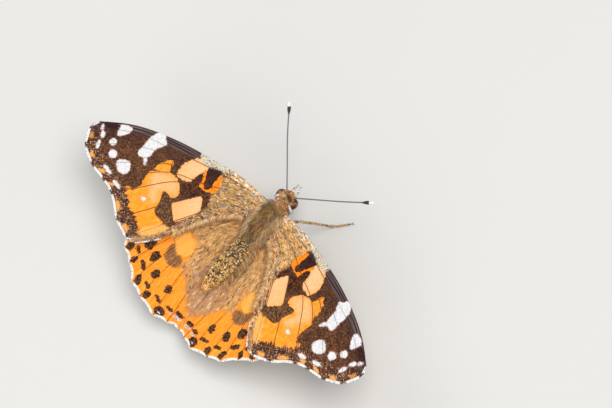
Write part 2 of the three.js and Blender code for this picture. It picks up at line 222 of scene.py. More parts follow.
def joined(shapes: Sequence[Shape]) -> Shape:
    """One shape that holds all of these, with the values that they all have."""
    starts = np.cumsum([0] + [len(s.points) for s in shapes])
    faces = [group + start for s, start in zip(shapes, starts) for group in s.faces]
    names = set.intersection(*(set(s.values) for s in shapes))
    values = {n: np.concatenate([s.values[n] for s in shapes]) for n in sorted(names)}
    unwraps = [s.unwrap for s in shapes]
    unwrap = None if any(u is None for u in unwraps) else np.vstack(unwraps)
    return Shape(np.vstack([s.points for s in shapes]), faces, values, unwrap)


def capped_tube(rings: Array, values: dict[str, Array] | None = None) -> Shape:
    """A closed skin over rings of points, with one more point at the middle of each end ring.

    Args:
        rings: An array of rings, points in a ring, and three coordinates.
        values: Values for each point of the rings, each an array of rings by points.

    Returns:
        The skin with its faces turned out.
    """
    count, around = rings.shape[:2]
    points = np.vstack([rings.reshape(-1, 3), rings[0].mean(0), rings[-1].mean(0)])
    k = np.arange(around)
    onward = (k + 1) % around
    last = (count - 1) * around
    pole = np.full(around, count * around)
    caps = np.vstack([np.stack([pole, onward, k], 1),
                      np.stack([pole + 1, last + k, last + onward], 1)])
    kept = {name: np.concatenate([grid.ravel(), [grid[0].mean(), grid[-1].mean()]])
            for name, grid in (values or {}).items()}
    return Shape(points, [grid_quads(count, around, closed=True), caps], kept).outward()


def sweep_rings(path: Array, radii: Array, sides: int, reference: Sequence[float],
                flat: float = 1.0) -> Array:
    """Rings along a path: each is its centre + r (cos a · side + flat · sin a · up).

    Args:
        path: Centres of the rings.
        radii: Radius of each ring.
        sides: Points in a ring.
        reference: A direction that the path is never parallel to.
        flat: Height of a ring over its width.

    Returns:
        An array of rings, points in a ring, and three coordinates.
    """
    along = unit(np.gradient(path, axis=0))
    side = unit(np.cross(along, np.asarray(reference, float)))
    up = np.cross(side, along)
    angle = 2 * np.pi * np.arange(sides) / sides
    ring = (np.cos(angle)[None, :, None] * side[:, None]
            + flat * np.sin(angle)[None, :, None] * up[:, None])
    return path[:, None] + radii[:, None, None] * ring


def along_rings(rings: Array) -> Array:
    """The place of each ring along its bar, 0 to 1, for every point of the rings."""
    return np.repeat(np.linspace(0, 1, len(rings))[:, None], rings.shape[1], axis=1)


# Outlines of colour marks


def rounded(outline: Outline, rounds: int = 2) -> Array:
    """The outline with its corners cut at a quarter and three quarters of each side.

    Args:
        outline: A closed outline's corners.
        rounds: How often the corners are cut.

    Returns:
        The corners of the rounded outline.
    """
    points = np.asarray(outline, float)
    for _ in range(rounds):
        after = np.roll(points, -1, axis=0)
        points = np.stack([0.75 * points + 0.25 * after, 0.25 * points + 0.75 * after], 1)
        points = points.reshape(-1, 2)
    return points


def oval(centre: Point, half: Point, turn: float = 0.0) -> Outline:
    """An ellipse's outline: its two half lengths along axes that are turned.

    Args:
        centre: Its middle.
        half: Its half lengths.
        turn: The turn of its first axis, in degrees.

    Returns:
        Twenty points round it.
    """
    angle = np.linspace(0, 2 * np.pi, 20, endpoint=False)
    c, s = math.cos(math.radians(turn)), math.sin(math.radians(turn))
    x, y = half[0] * np.cos(angle), half[1] * np.sin(angle)
    return list(zip(centre[0] + c * x - s * y, centre[1] + s * x + c * y))


def line_distance(points: Array, line: Array) -> Array:
    """The distance from each point to the nearest part of a line of straight pieces."""
    start, run = line[:-1], np.diff(line, axis=0)
    offset = points[:, None] - start[None]
    share = np.clip((offset * run).sum(2) / np.maximum((run**2).sum(1), 1e-12), 0, 1)
    return np.linalg.norm(offset - share[..., None] * run, axis=2).min(1)


def depth_inside(points: Array, outlines: Sequence[Outline]) -> Array:
    """How deep each point lies inside the nearest of some outlines, and less than 0 outside.

    A point is inside where a line from it to the right crosses the outline an odd
    number of times, and its depth is its distance to the outline.

    Args:
        points: Points of the chart.
        outlines: Closed outlines, rounded before use.

    Returns:
        The greatest signed depth for each point.
    """
    depth = np.full(len(points), -9.0)
    for outline in outlines:
        ring = rounded(outline)
        closed = np.vstack([ring, ring[:1]])
        low, high = ring.min(0) - 3, ring.max(0) + 3
        near = np.where(((points > low) & (points < high)).all(1))[0]
        if not len(near):
            continue
        here = points[near]
        (x0, y0), (x1, y1) = closed[:-1].T, closed[1:].T
        spans = (y0 > here[:, 1:]) != (y1 > here[:, 1:])
        rise = np.where(y1 == y0, 1e-12, y1 - y0)
        crossing = (x1 - x0) * (here[:, 1:] - y0) / rise + x0
        inside = (spans & (here[:, :1] < crossing)).sum(1) % 2 == 1
        signed = line_distance(here, closed) * np.where(inside, 1, -1)
        depth[near] = np.maximum(depth[near], signed)
    return np.maximum(depth, -3.0)


# From shapes to pieces


@dataclass(frozen=True)
class BodyFrame:
    """The insect's own axes inside the frame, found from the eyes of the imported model."""

    pitch: float = math.radians(7)
    eye_forward: float = 3.15
    eye_height: float = -1.7

    @property
    def origin(self) -> Vector:
        """The middle of the forewing hinge line, in millimetres in the frame."""
        corners = [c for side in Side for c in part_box(f"eye_{side.word}")]
        centre = sum(corners, Vector()) / len(corners) * 1000
        c, s = math.cos(self.pitch), math.sin(self.pitch)
        forward = self.eye_forward * c - self.eye_height * s
        height = self.eye_forward * s + self.eye_height * c
        return centre - Vector((0, forward, height))

    @property
    def turn(self) -> Matrix:
        """The nose-up turn about x."""
        return Matrix.Rotation(self.pitch, 3, "X")

    def place(self, points: Array) -> Array:
        """Points on the insect's axes, in mm, as metres in the frame."""
        return (points @ np.array(self.turn).T + np.array(self.origin)) / 1000

    def from_floor(self, points: Array) -> Array:
        """Points measured up from the floor under the hinge line, on the insect's axes."""
        ground = np.array([0, 0, self.origin.z])
        return (np.asarray(points, float) - ground) @ np.array(self.turn)


BODY_FRAME = BodyFrame()


def make_piece(name: str, shape: Shape, material: bpy.types.Material,
               replaced: Sequence[str] = ()) -> bpy.types.Object:
    """Puts a shape into a mesh object that rides on the insect's one body.

    Args:
        name: The piece's name.
        shape: Its points, faces, values and unwrap.
        material: Its finish.
        replaced: The nodes that it stands for.

    Returns:
        The object, which sits at the origin.
    """
    mesh = bpy.data.meshes.new(name)
    corners = np.concatenate([group.ravel() for group in shape.faces]).astype(np.int32)
    sizes = np.concatenate([np.full(len(group), group.shape[1]) for group in shape.faces])
    starts = np.concatenate([[0], np.cumsum(sizes)[:-1]]).astype(np.int32)
    mesh.vertices.add(len(shape.points))
    mesh.vertices.foreach_set("co", BODY_FRAME.place(shape.points).astype(np.float32).ravel())
    mesh.loops.add(len(corners))
    mesh.loops.foreach_set("vertex_index", corners)
    mesh.polygons.add(len(starts))
    mesh.polygons.foreach_set("loop_start", starts)
    mesh.polygons.foreach_set("use_smooth", np.ones(len(starts), bool))
    mesh.update(calc_edges=True)
    for key, values in shape.values.items():
        layer = mesh.attributes.new(key, "FLOAT", "POINT")
        layer.data.foreach_set("value", np.asarray(values, np.float32))
    if shape.unwrap is not None:
        layer = mesh.uv_layers.new(name="OFBake")
        layer.data.foreach_set("uv", shape.unwrap[corners].astype(np.float32).ravel())
    mesh.materials.append(material)
    piece = bpy.data.objects.new(name, mesh)
    bpy.context.scene.collection.objects.link(piece)
    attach(piece, "root")
    if replaced:
        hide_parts(*replaced)
    LOG.info("%s: %d points, %d faces", name, len(shape.points), len(starts))
    return piece


# Finishes


class Socket:
    """One output of a shader node, on which arithmetic adds Math nodes."""

    def __init__(self, shader: "Shader", output: bpy.types.NodeSocket) -> None:
        """Keeps the output and the shader that it belongs to."""
        self.shader = shader
        self.output = output

    def __add__(self, other: "Value") -> "Socket":
        """Self + other."""
        return self.shader.math("ADD", self, other)

    def __radd__(self, other: "Value") -> "Socket":
        """Other + self."""
        return self.shader.math("ADD", other, self)

    def __sub__(self, other: "Value") -> "Socket":
        """Self - other."""
        return self.shader.math("SUBTRACT", self, other)

    def __rsub__(self, other: "Value") -> "Socket":
        """Other - self."""
        return self.shader.math("SUBTRACT", other, self)

    def __mul__(self, other: "Value") -> "Socket":
        """Self × other."""
        return self.shader.math("MULTIPLY", self, other)

    def __rmul__(self, other: "Value") -> "Socket":
        """Other × self."""
        return self.shader.math("MULTIPLY", other, self)

    def steps(self, low: float, high: float) -> "Socket":
        """0 below low, 1 above high, and a smooth rise between them."""
        return self.shader.node(
            "ShaderNodeMapRange", {"interpolation_type": "SMOOTHSTEP", "clamp": True},
            {"Value": self, "From Min": low, "From Max": high, "To Min": 0.0, "To Max": 1.0})

    def within(self, reach: float, soft: float) -> "Socket":
        """1 up to a reach and 0 past it, over a soft width."""
        return 1 - self.steps(reach - soft, reach + soft)


Value = Socket | float


class Shader:
    """A node material for one finish."""

    def __init__(self, name: str, roughness: float = 0.6, sheen: float = 0.0,
                 coat: float = 0.0, specular: float = 0.5) -> None:
        """Makes the material and sets what is the same all over it."""
        self.material = bpy.data.materials.new(name)
        self.material.use_nodes = True
        self.tree = self.material.node_tree
        self.surface = self.tree.nodes["Principled BSDF"]
        constants = {"Roughness": roughness, "Sheen Weight": sheen, "Sheen Roughness": 0.5,
                     "Coat Weight": coat, "Specular IOR Level": specular}
        for key, value in constants.items():
            self.surface.inputs[key].default_value = value

    def node(self, kind: str, settings: dict, inputs: dict, output: int | str = 0) -> Socket:
        """Adds any node.

        Args:
            kind: The node's type.
            settings: Its settings, among them "stops" for a ramp, set first.
            inputs: Values or sockets for its inputs, by name or number.
            output: The output to return.

        Returns:
            The chosen output.
        """
        node = self.tree.nodes.new(kind)
        for key, value in settings.items():
            if key == "stops":
                elements = node.color_ramp.elements
                while len(elements) > 1:
                    elements.remove(elements[-1])
                for k, (place, colour) in enumerate(value):
                    stop = elements[0] if k == 0 else elements.new(place)
                    stop.position, stop.color = place, colour
            elif key == "interpolation":
                node.color_ramp.interpolation = value
            else:
                setattr(node, key, value)
        for key, value in inputs.items():
            if isinstance(value, Socket):
                self.tree.links.new(value.output, node.inputs[key])
            else:
                node.inputs[key].default_value = value
        return Socket(self, node.outputs[output])

    def math(self, operation: str, *terms: Value) -> Socket:
        """A Math node on one, two or three values."""
        return self.node("ShaderNodeMath", {"operation": operation}, dict(enumerate(terms)))

    def value(self, name: str) -> Socket:
        """A value that the mesh keeps for each point."""
        return self.node("ShaderNodeAttribute", {"attribute_name": name}, {}, "Fac")

    def place(self, stretch: tuple[float, float, float] = (1.0, 1.0, 1.0)) -> Socket:
        """Object coordinates in millimetres, with each axis stretched."""
        where = self.node("ShaderNodeTexCoord", {}, {}, "Object")
        return self.node("ShaderNodeVectorMath", {"operation": "MULTIPLY"},
                         {0: where, 1: tuple(1000 * v for v in stretch)})

    def together(self, x: Value, y: Value, z: Value = 0.0) -> Socket:
        """Three values as one vector."""
        return self.node("ShaderNodeCombineXYZ", {}, {"X": x, "Y": y, "Z": z})

    def noise(self, where: Socket, scale: float, detail: float = 2.0) -> Socket:
        """Cloudy noise about a half, with so many lumps to a unit of the vector."""
        return self.node("ShaderNodeTexNoise", {},
                         {"Vector": where, "Scale": scale, "Detail": detail}, "Fac")

    def cells(self, where: Socket, scale: float) -> Socket:
        """A random level for each small cell, as one scale differs from the next."""
        colour = self.node("ShaderNodeTexVoronoi", {}, {"Vector": where, "Scale": scale}, "Color")
        return self.node("ShaderNodeSeparateColor", {}, {"Color": colour}, "Red")

    def cracks(self, where: Socket, scale: float) -> Socket:
        """The distance from the middle of each small cell."""
        return self.node("ShaderNodeTexVoronoi", {}, {"Vector": where, "Scale": scale},
                         "Distance")

    def blend(self, factor: Value, under: "Socket | Point3", over: "Socket | Point3") -> Socket:
        """The over colour laid on the under colour by a factor; plain ones are screen colours."""
        a, b = (c if isinstance(c, Socket) else tone(*c) for c in (under, over))
        return self.node("ShaderNodeMix", {"data_type": "RGBA"}, {0: factor, 6: a, 7: b}, 2)

    def mottle(self, where: Socket, scale: float, detail: float, rise: Point,
               under: Point3, over: Point3) -> Socket:
        """Two colours in cloudy patches.

        Args:
            where: The place on the surface.
            scale: How many lumps to a unit of the place.
            detail: How fine the smallest lumps are.
            rise: Where the over colour begins and where it is full.
            under: A screen colour.
            over: The screen colour of the patches.

        Returns:
            The mixed colour.
        """
        return self.blend(self.noise(where, scale, detail).steps(*rise), under, over)

    def scaled(self, colour: Socket, level: Value) -> Socket:
        """A colour made lighter or darker by a level."""
        return self.node("ShaderNodeVectorMath", {"operation": "SCALE"},
                         {0: colour, "Scale": level})

    def finish(self, colour: Socket, height: Socket | None = None, depth: float = 0.0,
               roughness: Socket | None = None) -> bpy.types.Material:
        """Joins the parts to the surface.

        Args:
            colour: The base colour.
            height: The height of the fine relief, from 0 to 1.
            depth: The relief's depth in millimetres.
            roughness: The roughness, where it varies.

        Returns:
            The material.
        """
        self.tree.links.new(colour.output, self.surface.inputs["Base Color"])
        if height is not None:
            normal = self.node("ShaderNodeBump", {},
                               {"Strength": 1.0, "Distance": depth / 1000, "Height": height},
                               "Normal")
            self.tree.links.new(normal.output, self.surface.inputs["Normal"])
        if roughness is not None:
            self.tree.links.new(roughness.output, self.surface.inputs["Roughness"])
        return self.material


@dataclass(frozen=True)
class CoatFinish:
    """Hairs and loose scales: a ramp of hues, darker at the root and paler at the tip."""

    name: str
    root_level: float = 0.98
    tip_gain: float = 0.3

    def material(self) -> bpy.types.Material:
        """Builds the finish."""
        s = Shader(self.name, roughness=0.62, sheen=0.05, specular=0.2)
        stops = [(k / len(Hue), tone(*hue.value)) for k, hue in enumerate(Hue)]
        hue = s.node("ShaderNodeValToRGB", {"stops": stops, "interpolation": "CONSTANT"},
                     {"Fac": s.value("shade")}, "Color")
        level = (self.root_level + self.tip_gain * s.value("tip")) * (0.84 + 0.32 * s.value("pick"))
        grain = s.noise(s.place(), 9.0)
        return s.finish(s.scaled(hue, level * (0.9 + 0.2 * grain)), roughness=0.5 + 0.24 * grain)


@dataclass(frozen=True)
class SkinFinish:
    """Dull cuticle under a coat: a dark ground with paler mottling and fine pits."""

    name: str
    ground: Point3
    mottle: Point3
    lumps: float = 3.0
    roughness: float = 0.7

    def material(self) -> bpy.types.Material:
        """Builds the finish."""
        s = Shader(self.name, roughness=self.roughness, specular=0.2)
        where = s.place()
        mottling = s.noise(where, self.lumps, 4.0).steps(0.38, 0.66)
        colour = s.blend(mottling, self.ground, self.mottle)
        return s.finish(colour, s.noise(where, 16.0, 3.0), 0.05)


@dataclass(frozen=True)
class ForewingFinish:
    """Forewing scales: chocolate ground, orange patches, black bars and white marks above."""

    name: str = "forewing scales"

    def ragged(self, s: Shader, where: Socket) -> Socket:
        """A small shift of every mark's edge, in millimetres, as scales overlap it."""
        broad = s.noise(where, 1.9, 2.0) - 0.5
        fine = s.noise(where, 6.0, 3.0) - 0.5
        return broad * 0.7 + fine * 0.55

    def between(self, s: Shader) -> Socket:
        """0 midway between two veins and a half at each vein."""
        return s.math("ABSOLUTE", s.math("FRACT", s.value("across")) - 0.5)

    def ground(self, s: Shader, where: Socket, ragged: Socket) -> Socket:
        """The brown ground, with tan patches and pale flecks inside the margin."""
        brown = s.mottle(where, 0.8, 4.0, (0.3, 0.7), (70, 38, 20), (98, 60, 34))
        across, along, edge = s.value("across"), s.value("along"), s.value("edge")
        streak = s.noise(s.together(across * 9.0, along * 14.0), 1.0, 3.0)
        brown = s.blend(streak.steps(0.45, 0.8) * 0.5, brown, (126, 86, 58))
        grain = s.noise(where, 3.4, 3.0)
        brown = s.blend(grain.steps(0.5, 0.62) * 0.7, brown, (42, 20, 12))
        brown = s.blend(grain.steps(0.48, 0.38) * 0.5, brown, (140, 96, 62))
        rim = 1 - edge.steps(1.2, 3.6)
        cloud = s.noise(where, 1.1, 3.0).steps(0.42, 0.58)
        brown = s.blend(rim * cloud * 0.7, brown, (50, 28, 20))
        fleck = s.noise(s.together(across * 11.0, along * 30.0), 1.0, 2.0).steps(0.56, 0.66)
        brown = s.blend(fleck * rim * 0.6, brown, (200, 140, 92))
        bloom = s.noise(where, 4.0, 1.0).steps(0.64, 0.7)
        brown = s.blend(bloom * rim * 0.7, brown, (240, 214, 200))
        lumps = s.noise(where, 1.3, 2.0) - 0.5
        middle = self.between(s) + ragged * 0.3 + lumps * 0.5
        gold = middle.within(0.17, 0.06) * (edge + ragged * 0.8).within(0.9, 0.2)
        brown = s.blend(gold * edge.steps(0.08, 0.3), brown, (226, 156, 82))
        front = s.value("costa")
        brown = s.blend(front.within(3.2, 2.2) * 0.5, brown, (48, 26, 24))
        lines = s.noise(s.together(front * 4.5, along * 4.0), 1.0, 3.0).steps(0.42, 0.66)
        edging = s.blend(lines, (42, 28, 36), (118, 100, 90))
        return s.blend(front.within(1.3, 0.4), brown, edging)

    def patches(self, s: Shader, where: Socket, ragged: Socket) -> Socket:
        """Orange patches with smooth peach middles, palest in the cell, and pink flecks."""
        warm = s.mottle(where, 1.3, 3.0, (0.3, 0.7), (244, 136, 22), (248, 158, 44))
        peach = s.blend(s.value("along").steps(0.36, 0.66), (238, 185, 133), (246, 172, 104))
        peach = s.blend(s.noise(where, 1.0, 2.0).steps(0.3, 0.7) * 0.25, peach, (244, 197, 158))
        colour = s.blend((s.value("pale") + ragged * 1.6).steps(-0.9, 0.7), warm, peach)
        fleck = s.noise(where, 4.2, 2.0).steps(0.62, 0.7)
        colour = s.blend(fleck * 0.4, colour, (255, 216, 186))
        grain = s.noise(where, 6.5, 2.0).steps(0.55, 0.75)
        return s.blend(grain * 0.25, colour, (244, 138, 36))

    def rim(self, s: Shader, colour: Socket) -> Socket:
        """A white line along the margin, broken at the veins, as the fringe begins."""
        line = s.value("edge").within(0.13, 0.06) * self.between(s).within(0.36, 0.06)
        return s.blend(line * 0.9, colour, (240, 236, 230))

    def upper(self, s: Shader, where: Socket) -> Socket:
        """The colour of the upper side, laid on layer by layer."""
        ragged = self.ragged(s, where)
        soft = 0.06
        teeth = s.noise(s.together(s.value("across") * 7.0, s.value("along") * 4.0), 1.3, 3.0)
        outer = s.value("edge").within(4.2, 1.6) * (teeth - 0.5) * 2.2
        colour = s.blend((s.value("patch") + ragged + outer).steps(-soft, soft),
                         self.ground(s, where, ragged), self.patches(s, where, ragged))
        red = s.mottle(where, 2.4, 3.0, (0.4, 0.62), (252, 144, 10), (240, 118, 6))
        colour = s.blend((s.value("deep") + ragged).steps(-soft, soft), colour, red)
        sand = s.blend(s.noise(where, 2.0, 3.0), (244, 164, 66), (236, 178, 104))
        colour = s.blend((s.value("sand") + ragged * 1.6).steps(-0.3, 0.3), colour, sand)
        bars = s.mottle(where, 2.6, 3.0, (0.36, 0.66), (34, 14, 10), (96, 52, 24))
        bars = s.blend(s.value("costa").within(4.0, 2.0) * 0.7, bars, (38, 18, 22))
        olive = s.mottle(where, 3.4, 3.0, (0.4, 0.64), (58, 34, 18), (140, 100, 64))
        low = s.value("along").steps(0.5, 0.66) * s.value("along").within(0.78, 0.04)
        bars = s.blend(low * 0.75, bars, olive)
        colour = s.blend((s.value("dark") + ragged).steps(-soft, soft), colour, bars)
        vein = s.value("vein").within(0.07, 0.06) * (s.value("patch") + 0.1).steps(0.0, 0.2)
        colour = s.blend(vein * 0.85, colour, (104, 60, 34))
        cream = s.mottle(where, 5.0, 2.0, (0.52, 0.62), (206, 196, 174), (120, 100, 80))
        colour = s.blend((s.value("cream") + ragged).steps(-0.3, 0.2), colour, cream)
        pink = (s.value("white") + ragged * 0.7 + 0.12).steps(-0.05, 0.05)
        colour = s.blend(pink * 0.6, colour, (196, 160, 152))
        white = s.mottle(where, 3.0, 3.0, (0.3, 0.7), (206, 204, 206), (224, 223, 223))
        colour = s.blend((s.value("white") + ragged * 0.7).steps(-0.05, 0.05), colour, white)
        seam = s.value("vein").within(0.06, 0.05)
        colour = s.blend(seam * 0.55, colour, (84, 56, 48))
        streak = s.noise(s.together(s.value("across") * 7.0, s.value("along") * 9.0), 1.6, 4.0)
        hair = s.blend(streak.steps(0.35, 0.65), (160, 116, 68), (226, 178, 116))
        mauve = s.blend(streak.steps(0.35, 0.65), (132, 96, 74), (196, 156, 122))
        hair = s.blend(s.value("inner").within(1.3, 0.6), hair, mauve)
        colour = s.blend((s.value("hair") + ragged * 2.0).steps(-0.5, 0.4), colour, hair)
        return self.rim(s, colour)

    def under(self, s: Shader, where: Socket) -> Socket:
        """The colour of the underside: the same plan, rosier and paler."""
        ragged = self.ragged(s, where)
        ground = s.mottle(where, 0.7, 4.0, (0.35, 0.65), (128, 104, 78), (186, 162, 126))
        patch = s.blend(s.noise(where, 1.2, 3.0), (232, 132, 92), (246, 178, 138))
        colour = s.blend((s.value("patch") + ragged).steps(-0.4, 0.3), ground, patch)
        colour = s.blend((s.value("deep") + ragged).steps(-0.2, 0.2), colour, (238, 140, 100))
        colour = s.blend((s.value("dark") + ragged).steps(-0.1, 0.1), colour, (52, 38, 32))
        colour = s.blend((s.value("white") + ragged).steps(-0.1, 0.1), colour, (244, 240, 234))
        colour = s.blend((s.value("hair") + ragged).steps(-0.8, 0.8) * 0.8, colour,
                         (222, 184, 150))
        return s.blend(s.value("vein").within(0.12, 0.08) * 0.6, colour, (226, 208, 178))

    def material(self) -> bpy.types.Material:
        """Builds the finish, with the two sides told apart by the value "top"."""
        s = Shader(self.name, roughness=0.6, specular=0.12)
        where = s.place()
        colour = s.blend(s.value("top").steps(0.4, 0.6), self.under(s, where),
                         self.upper(s, where))
        scales = s.cells(where, 7.0)
        colour = s.scaled(colour, 0.88 + 0.24 * scales)
        height = 0.6 * scales + 0.4 * s.noise(where, 12.0, 2.0)
        return s.finish(colour, height, 0.02, 0.5 + 0.2 * scales)


@dataclass(frozen=True)
class HindwingFinish(ForewingFinish):
    """Hindwing scales: orange with black spots above, marbled with eyespots below."""

    name: str = "hindwing scales"

    def upper(self, s: Shader, where: Socket) -> Socket:
        """The colour of the upper side, laid on layer by layer."""
        ragged = self.ragged(s, where)
        soft = 0.08
        streak = s.noise(s.together(s.value("across") * 7.0, s.value("along") * 6.0), 1.4, 4.0)
        colour = s.blend(streak.steps(0.3, 0.7), (244, 132, 20), (250, 160, 50))
        pink = s.noise(where, 5.0, 2.0).steps(0.6, 0.7)
        colour = s.blend(pink * 0.3, colour, (255, 200, 140))
        light = s.blend(streak, (246, 160, 56), (250, 178, 88))
        colour = s.blend((s.value("light") + ragged).steps(-0.25, 0.25), colour, light)
        smudge = s.blend(streak.steps(0.35, 0.65), (64, 46, 36), (128, 96, 66))
        smudge = s.blend(s.noise(where, 4.0, 2.0).steps(0.5, 0.66) * 0.4, smudge, (206, 150, 92))
        colour = s.blend((s.value("smudge") + ragged).steps(-0.35, 0.2) * 0.9, colour, smudge)
        vein = s.value("vein").within(0.07, 0.06) * (1 - s.value("light").steps(-0.2, 0.2))
        broken = s.noise(where, 3.0, 2.0).steps(0.3, 0.5)
        colour = s.blend(vein * broken * 0.85, colour, (96, 44, 20))
        front = s.value("costa").within(2.2, 1.4)
        colour = s.blend(front, colour, s.blend(streak, (86, 58, 38), (170, 130, 92)))
        spots = s.mottle(where, 3.4, 3.0, (0.42, 0.6), (30, 14, 12), (104, 68, 40))
        colour = s.blend((s.value("spot") + ragged).steps(-soft, soft), colour, spots)
        bloom = s.mottle(where, 4.0, 2.0, (0.4, 0.6), (128, 122, 150), (228, 222, 230))
        colour = s.blend((s.value("bloom") + ragged).steps(-soft, soft), colour, bloom)
        hair = s.blend(streak.steps(0.35, 0.65), (196, 140, 82), (236, 182, 116))
        fold = s.blend(streak.steps(0.3, 0.7), (188, 138, 100), (214, 168, 130))
        hair = s.blend((s.value("fold") + ragged).steps(-0.6, 0.5), hair, fold)
        colour = s.blend((s.value("hair") + ragged * 1.6).steps(-0.5, 0.4), colour, hair)
        return self.rim(s, colour)

    def under(self, s: Shader, where: Socket) -> Socket:
        """The colour of the underside: olive marbling, pale veins and a row of eyespots."""
        marble = s.noise(where, 0.55, 4.0)
        colour = s.blend(marble.steps(0.38, 0.5), (214, 194, 158), (142, 118, 84))
        colour = s.blend(marble.steps(0.55, 0.62), colour, (102, 80, 58))
        colour = s.blend(s.noise(where, 1.4, 3.0).steps(0.56, 0.64), colour, (238, 230, 212))
        band = s.value("edge").within(1.7, 0.3) * s.value("edge").steps(1.0, 1.3)
        colour = s.blend(band * 0.8, colour, (170, 166, 190))
        colour = s.blend(s.value("edge").within(0.6, 0.3) * 0.7, colour, (224, 190, 140))
        colour = s.blend(s.value("vein").within(0.14, 0.08) * 0.85, colour, (240, 232, 214))
        rings = s.value("ring")
        colour = s.blend(rings.within(1.25, 0.08), colour, (62, 46, 34))
        colour = s.blend(rings.within(1.02, 0.08), colour, (226, 196, 104))
        return s.blend(rings.within(0.62, 0.1), colour, (48, 62, 84))


# Skins, coats and tufts


@dataclass
class Roots:
    """Places on a skin where a coat grows, with the values of the skin there."""

    points: Array
    normals: Array
    onward: Array
    share: Array
    values: dict[str, Array] = field(default_factory=dict)
    weave: Array | None = None


@dataclass
class Ground:
    """A skin as a grid of points, whose normals are the cross of its two slopes."""

    grid: Array
    hint: Array
    closed: bool = False

    @classmethod
    def around(cls, rings: Array) -> "Ground":
        """A closed skin of rings, whose normals point away from each ring's middle."""
        return cls(rings, rings - rings.mean(1, keepdims=True), closed=True)

    def slopes(self) -> tuple[Array, Array]:
        """The change of place from row to row and from column to column."""
        down = np.gradient(self.grid, axis=0)
        if self.closed:
            return down, (np.roll(self.grid, -1, 1) - np.roll(self.grid, 1, 1)) / 2
        return down, np.gradient(self.grid, axis=1)

    def roots(self, density: Array, count: int, rng: np.random.Generator,
              values: dict[str, Array] | None = None) -> Roots:
        """Scatters roots by area times density.

        Args:
            density: A weight for each point of the grid.
            count: How many roots.
            rng: The source of chance.
            values: Grids of values to carry over to the roots.

        Returns:
            The roots.
        """
        down, side = self.slopes()
        normals = np.cross(down, side)
        area = np.linalg.norm(normals, axis=2)
        normals = unit(normals) * np.where((normals * self.hint).sum(2, keepdims=True) < 0, -1, 1)
        weight = (area * density)[:-1] if self.closed else (area * density)[:-1, :-1]
        chosen = rng.choice(weight.size, count, p=weight.ravel() / weight.sum())
        row, column = np.divmod(chosen, weight.shape[1])
        v, u = rng.random(count), rng.random(count)
        after = (column + 1) % self.grid.shape[1]

        def at(grid: Array) -> Array:
            """The grid's value at each root, mixed from the four corners of its cell."""
            wide = (slice(None),) + (None,) * (grid.ndim - 2)
            p, q = u[wide], v[wide]
            near = grid[row, column] * (1 - p) + grid[row, after] * p
            far = grid[row + 1, column] * (1 - p) + grid[row + 1, after] * p
            return near * (1 - q) + far * q

        shares = np.stack([(column + u) / self.grid.shape[1], (row + v) / self.grid.shape[0]], 1)
        kept = {name: at(grid) for name, grid in (values or {}).items()}
        return Roots(at(self.grid), unit(at(normals)), unit(at(down)), shares, kept)


def tufts(roots: Roots, lay: Array, length: Array, width: Array, lift: Array, bow: Array,
          shade: Array, rng: np.random.Generator, belly: float = 1.0) -> Shape:
    """Solid three-sided blades, one for each root.

    A blade's middle line is root + length (s lay + (lift s - bow s²) normal), with s
    from 0 at the root to 1 at the tip. Its rings stand at s = 0 and s = 0.55.

    Args:
        roots: Where the blades grow.
        lay: The direction along the skin that each blade lies in.
        length: Each blade's length.
        width: Each blade's width.
        lift: How steeply each blade leaves the skin.
        bow: How much it bends back to the skin.
        shade: Each blade's place on the ramp of hues.
        rng: The source of chance.
        belly: The width of the middle ring over that of the root.

    Returns:
        All blades as one shape, with an unwrap that is a small patch at each root.
    """
    count = len(roots.points)
    normal = roots.normals
    axis = unit(lay + normal * lift[:, None])
    up = unit(normal - axis * (normal * axis).sum(1, keepdims=True))
    side = np.cross(up, axis)
    angle = np.radians([90, 210, 330])
    ring = (np.cos(angle)[None, :, None] * side[:, None]
            + 0.45 * np.sin(angle)[None, :, None] * up[:, None]) * (width / 2)[:, None, None]

    def middle(s: float) -> Array:
        """The middle line at s."""
        rise = lift * s - bow * s * s
        return roots.points + length[:, None] * (s * lay + rise[:, None] * normal)

    low = (middle(0.0) - 0.04 * normal)[:, None] + ring * 0.8
    high = middle(0.55)[:, None] + ring * belly
    points = np.concatenate([low, high, middle(1.0)[:, None]], axis=1).reshape(-1, 3)
    start = 7 * np.arange(count)[:, None]
    quads = np.array([[0, 1, 4, 3], [1, 2, 5, 4], [2, 0, 3, 5]])
    triangles = np.array([[0, 2, 1], [3, 4, 6], [4, 5, 6], [5, 3, 6]])
    faces = [(start[:, None] + quads[None]).reshape(-1, 4),
             (start[:, None] + triangles[None]).reshape(-1, 3)]
    values = {"shade": np.repeat(shade, 7), "pick": np.repeat(rng.random(count), 7),
              "tip": np.tile([0, 0, 0, 0.55, 0.55, 0.55, 1.0], count)}
    patch = 0.0015 * np.array([[-1, -1], [1, -1], [0, -1], [-0.7, 0], [0.7, 0], [0, 0.2], [0, 1]])
    unwrap = np.clip(roots.share, 0.002, 0.998)[:, None] + patch[None]
    return Shape(points, faces, values, unwrap.reshape(-1, 2)).outward()


def cell_level(where: Array, size: float, rng: np.random.Generator) -> Array:
    """A random level that all points of one square cell share, each column set off by chance.

    Args:
        where: Two coordinates for each point.
        size: The side of a cell.
        rng: The source of chance.

    Returns:
        A level from 0 to 1 for each point.
    """
    table = rng.random(8192)
    i = np.floor(where[:, 0] / size).astype(np.int64)
    j = np.floor(where[:, 1] / size + table[i % len(table)]).astype(np.int64)
    return table[(i * 73856093 ^ j * 19349663) % len(table)]


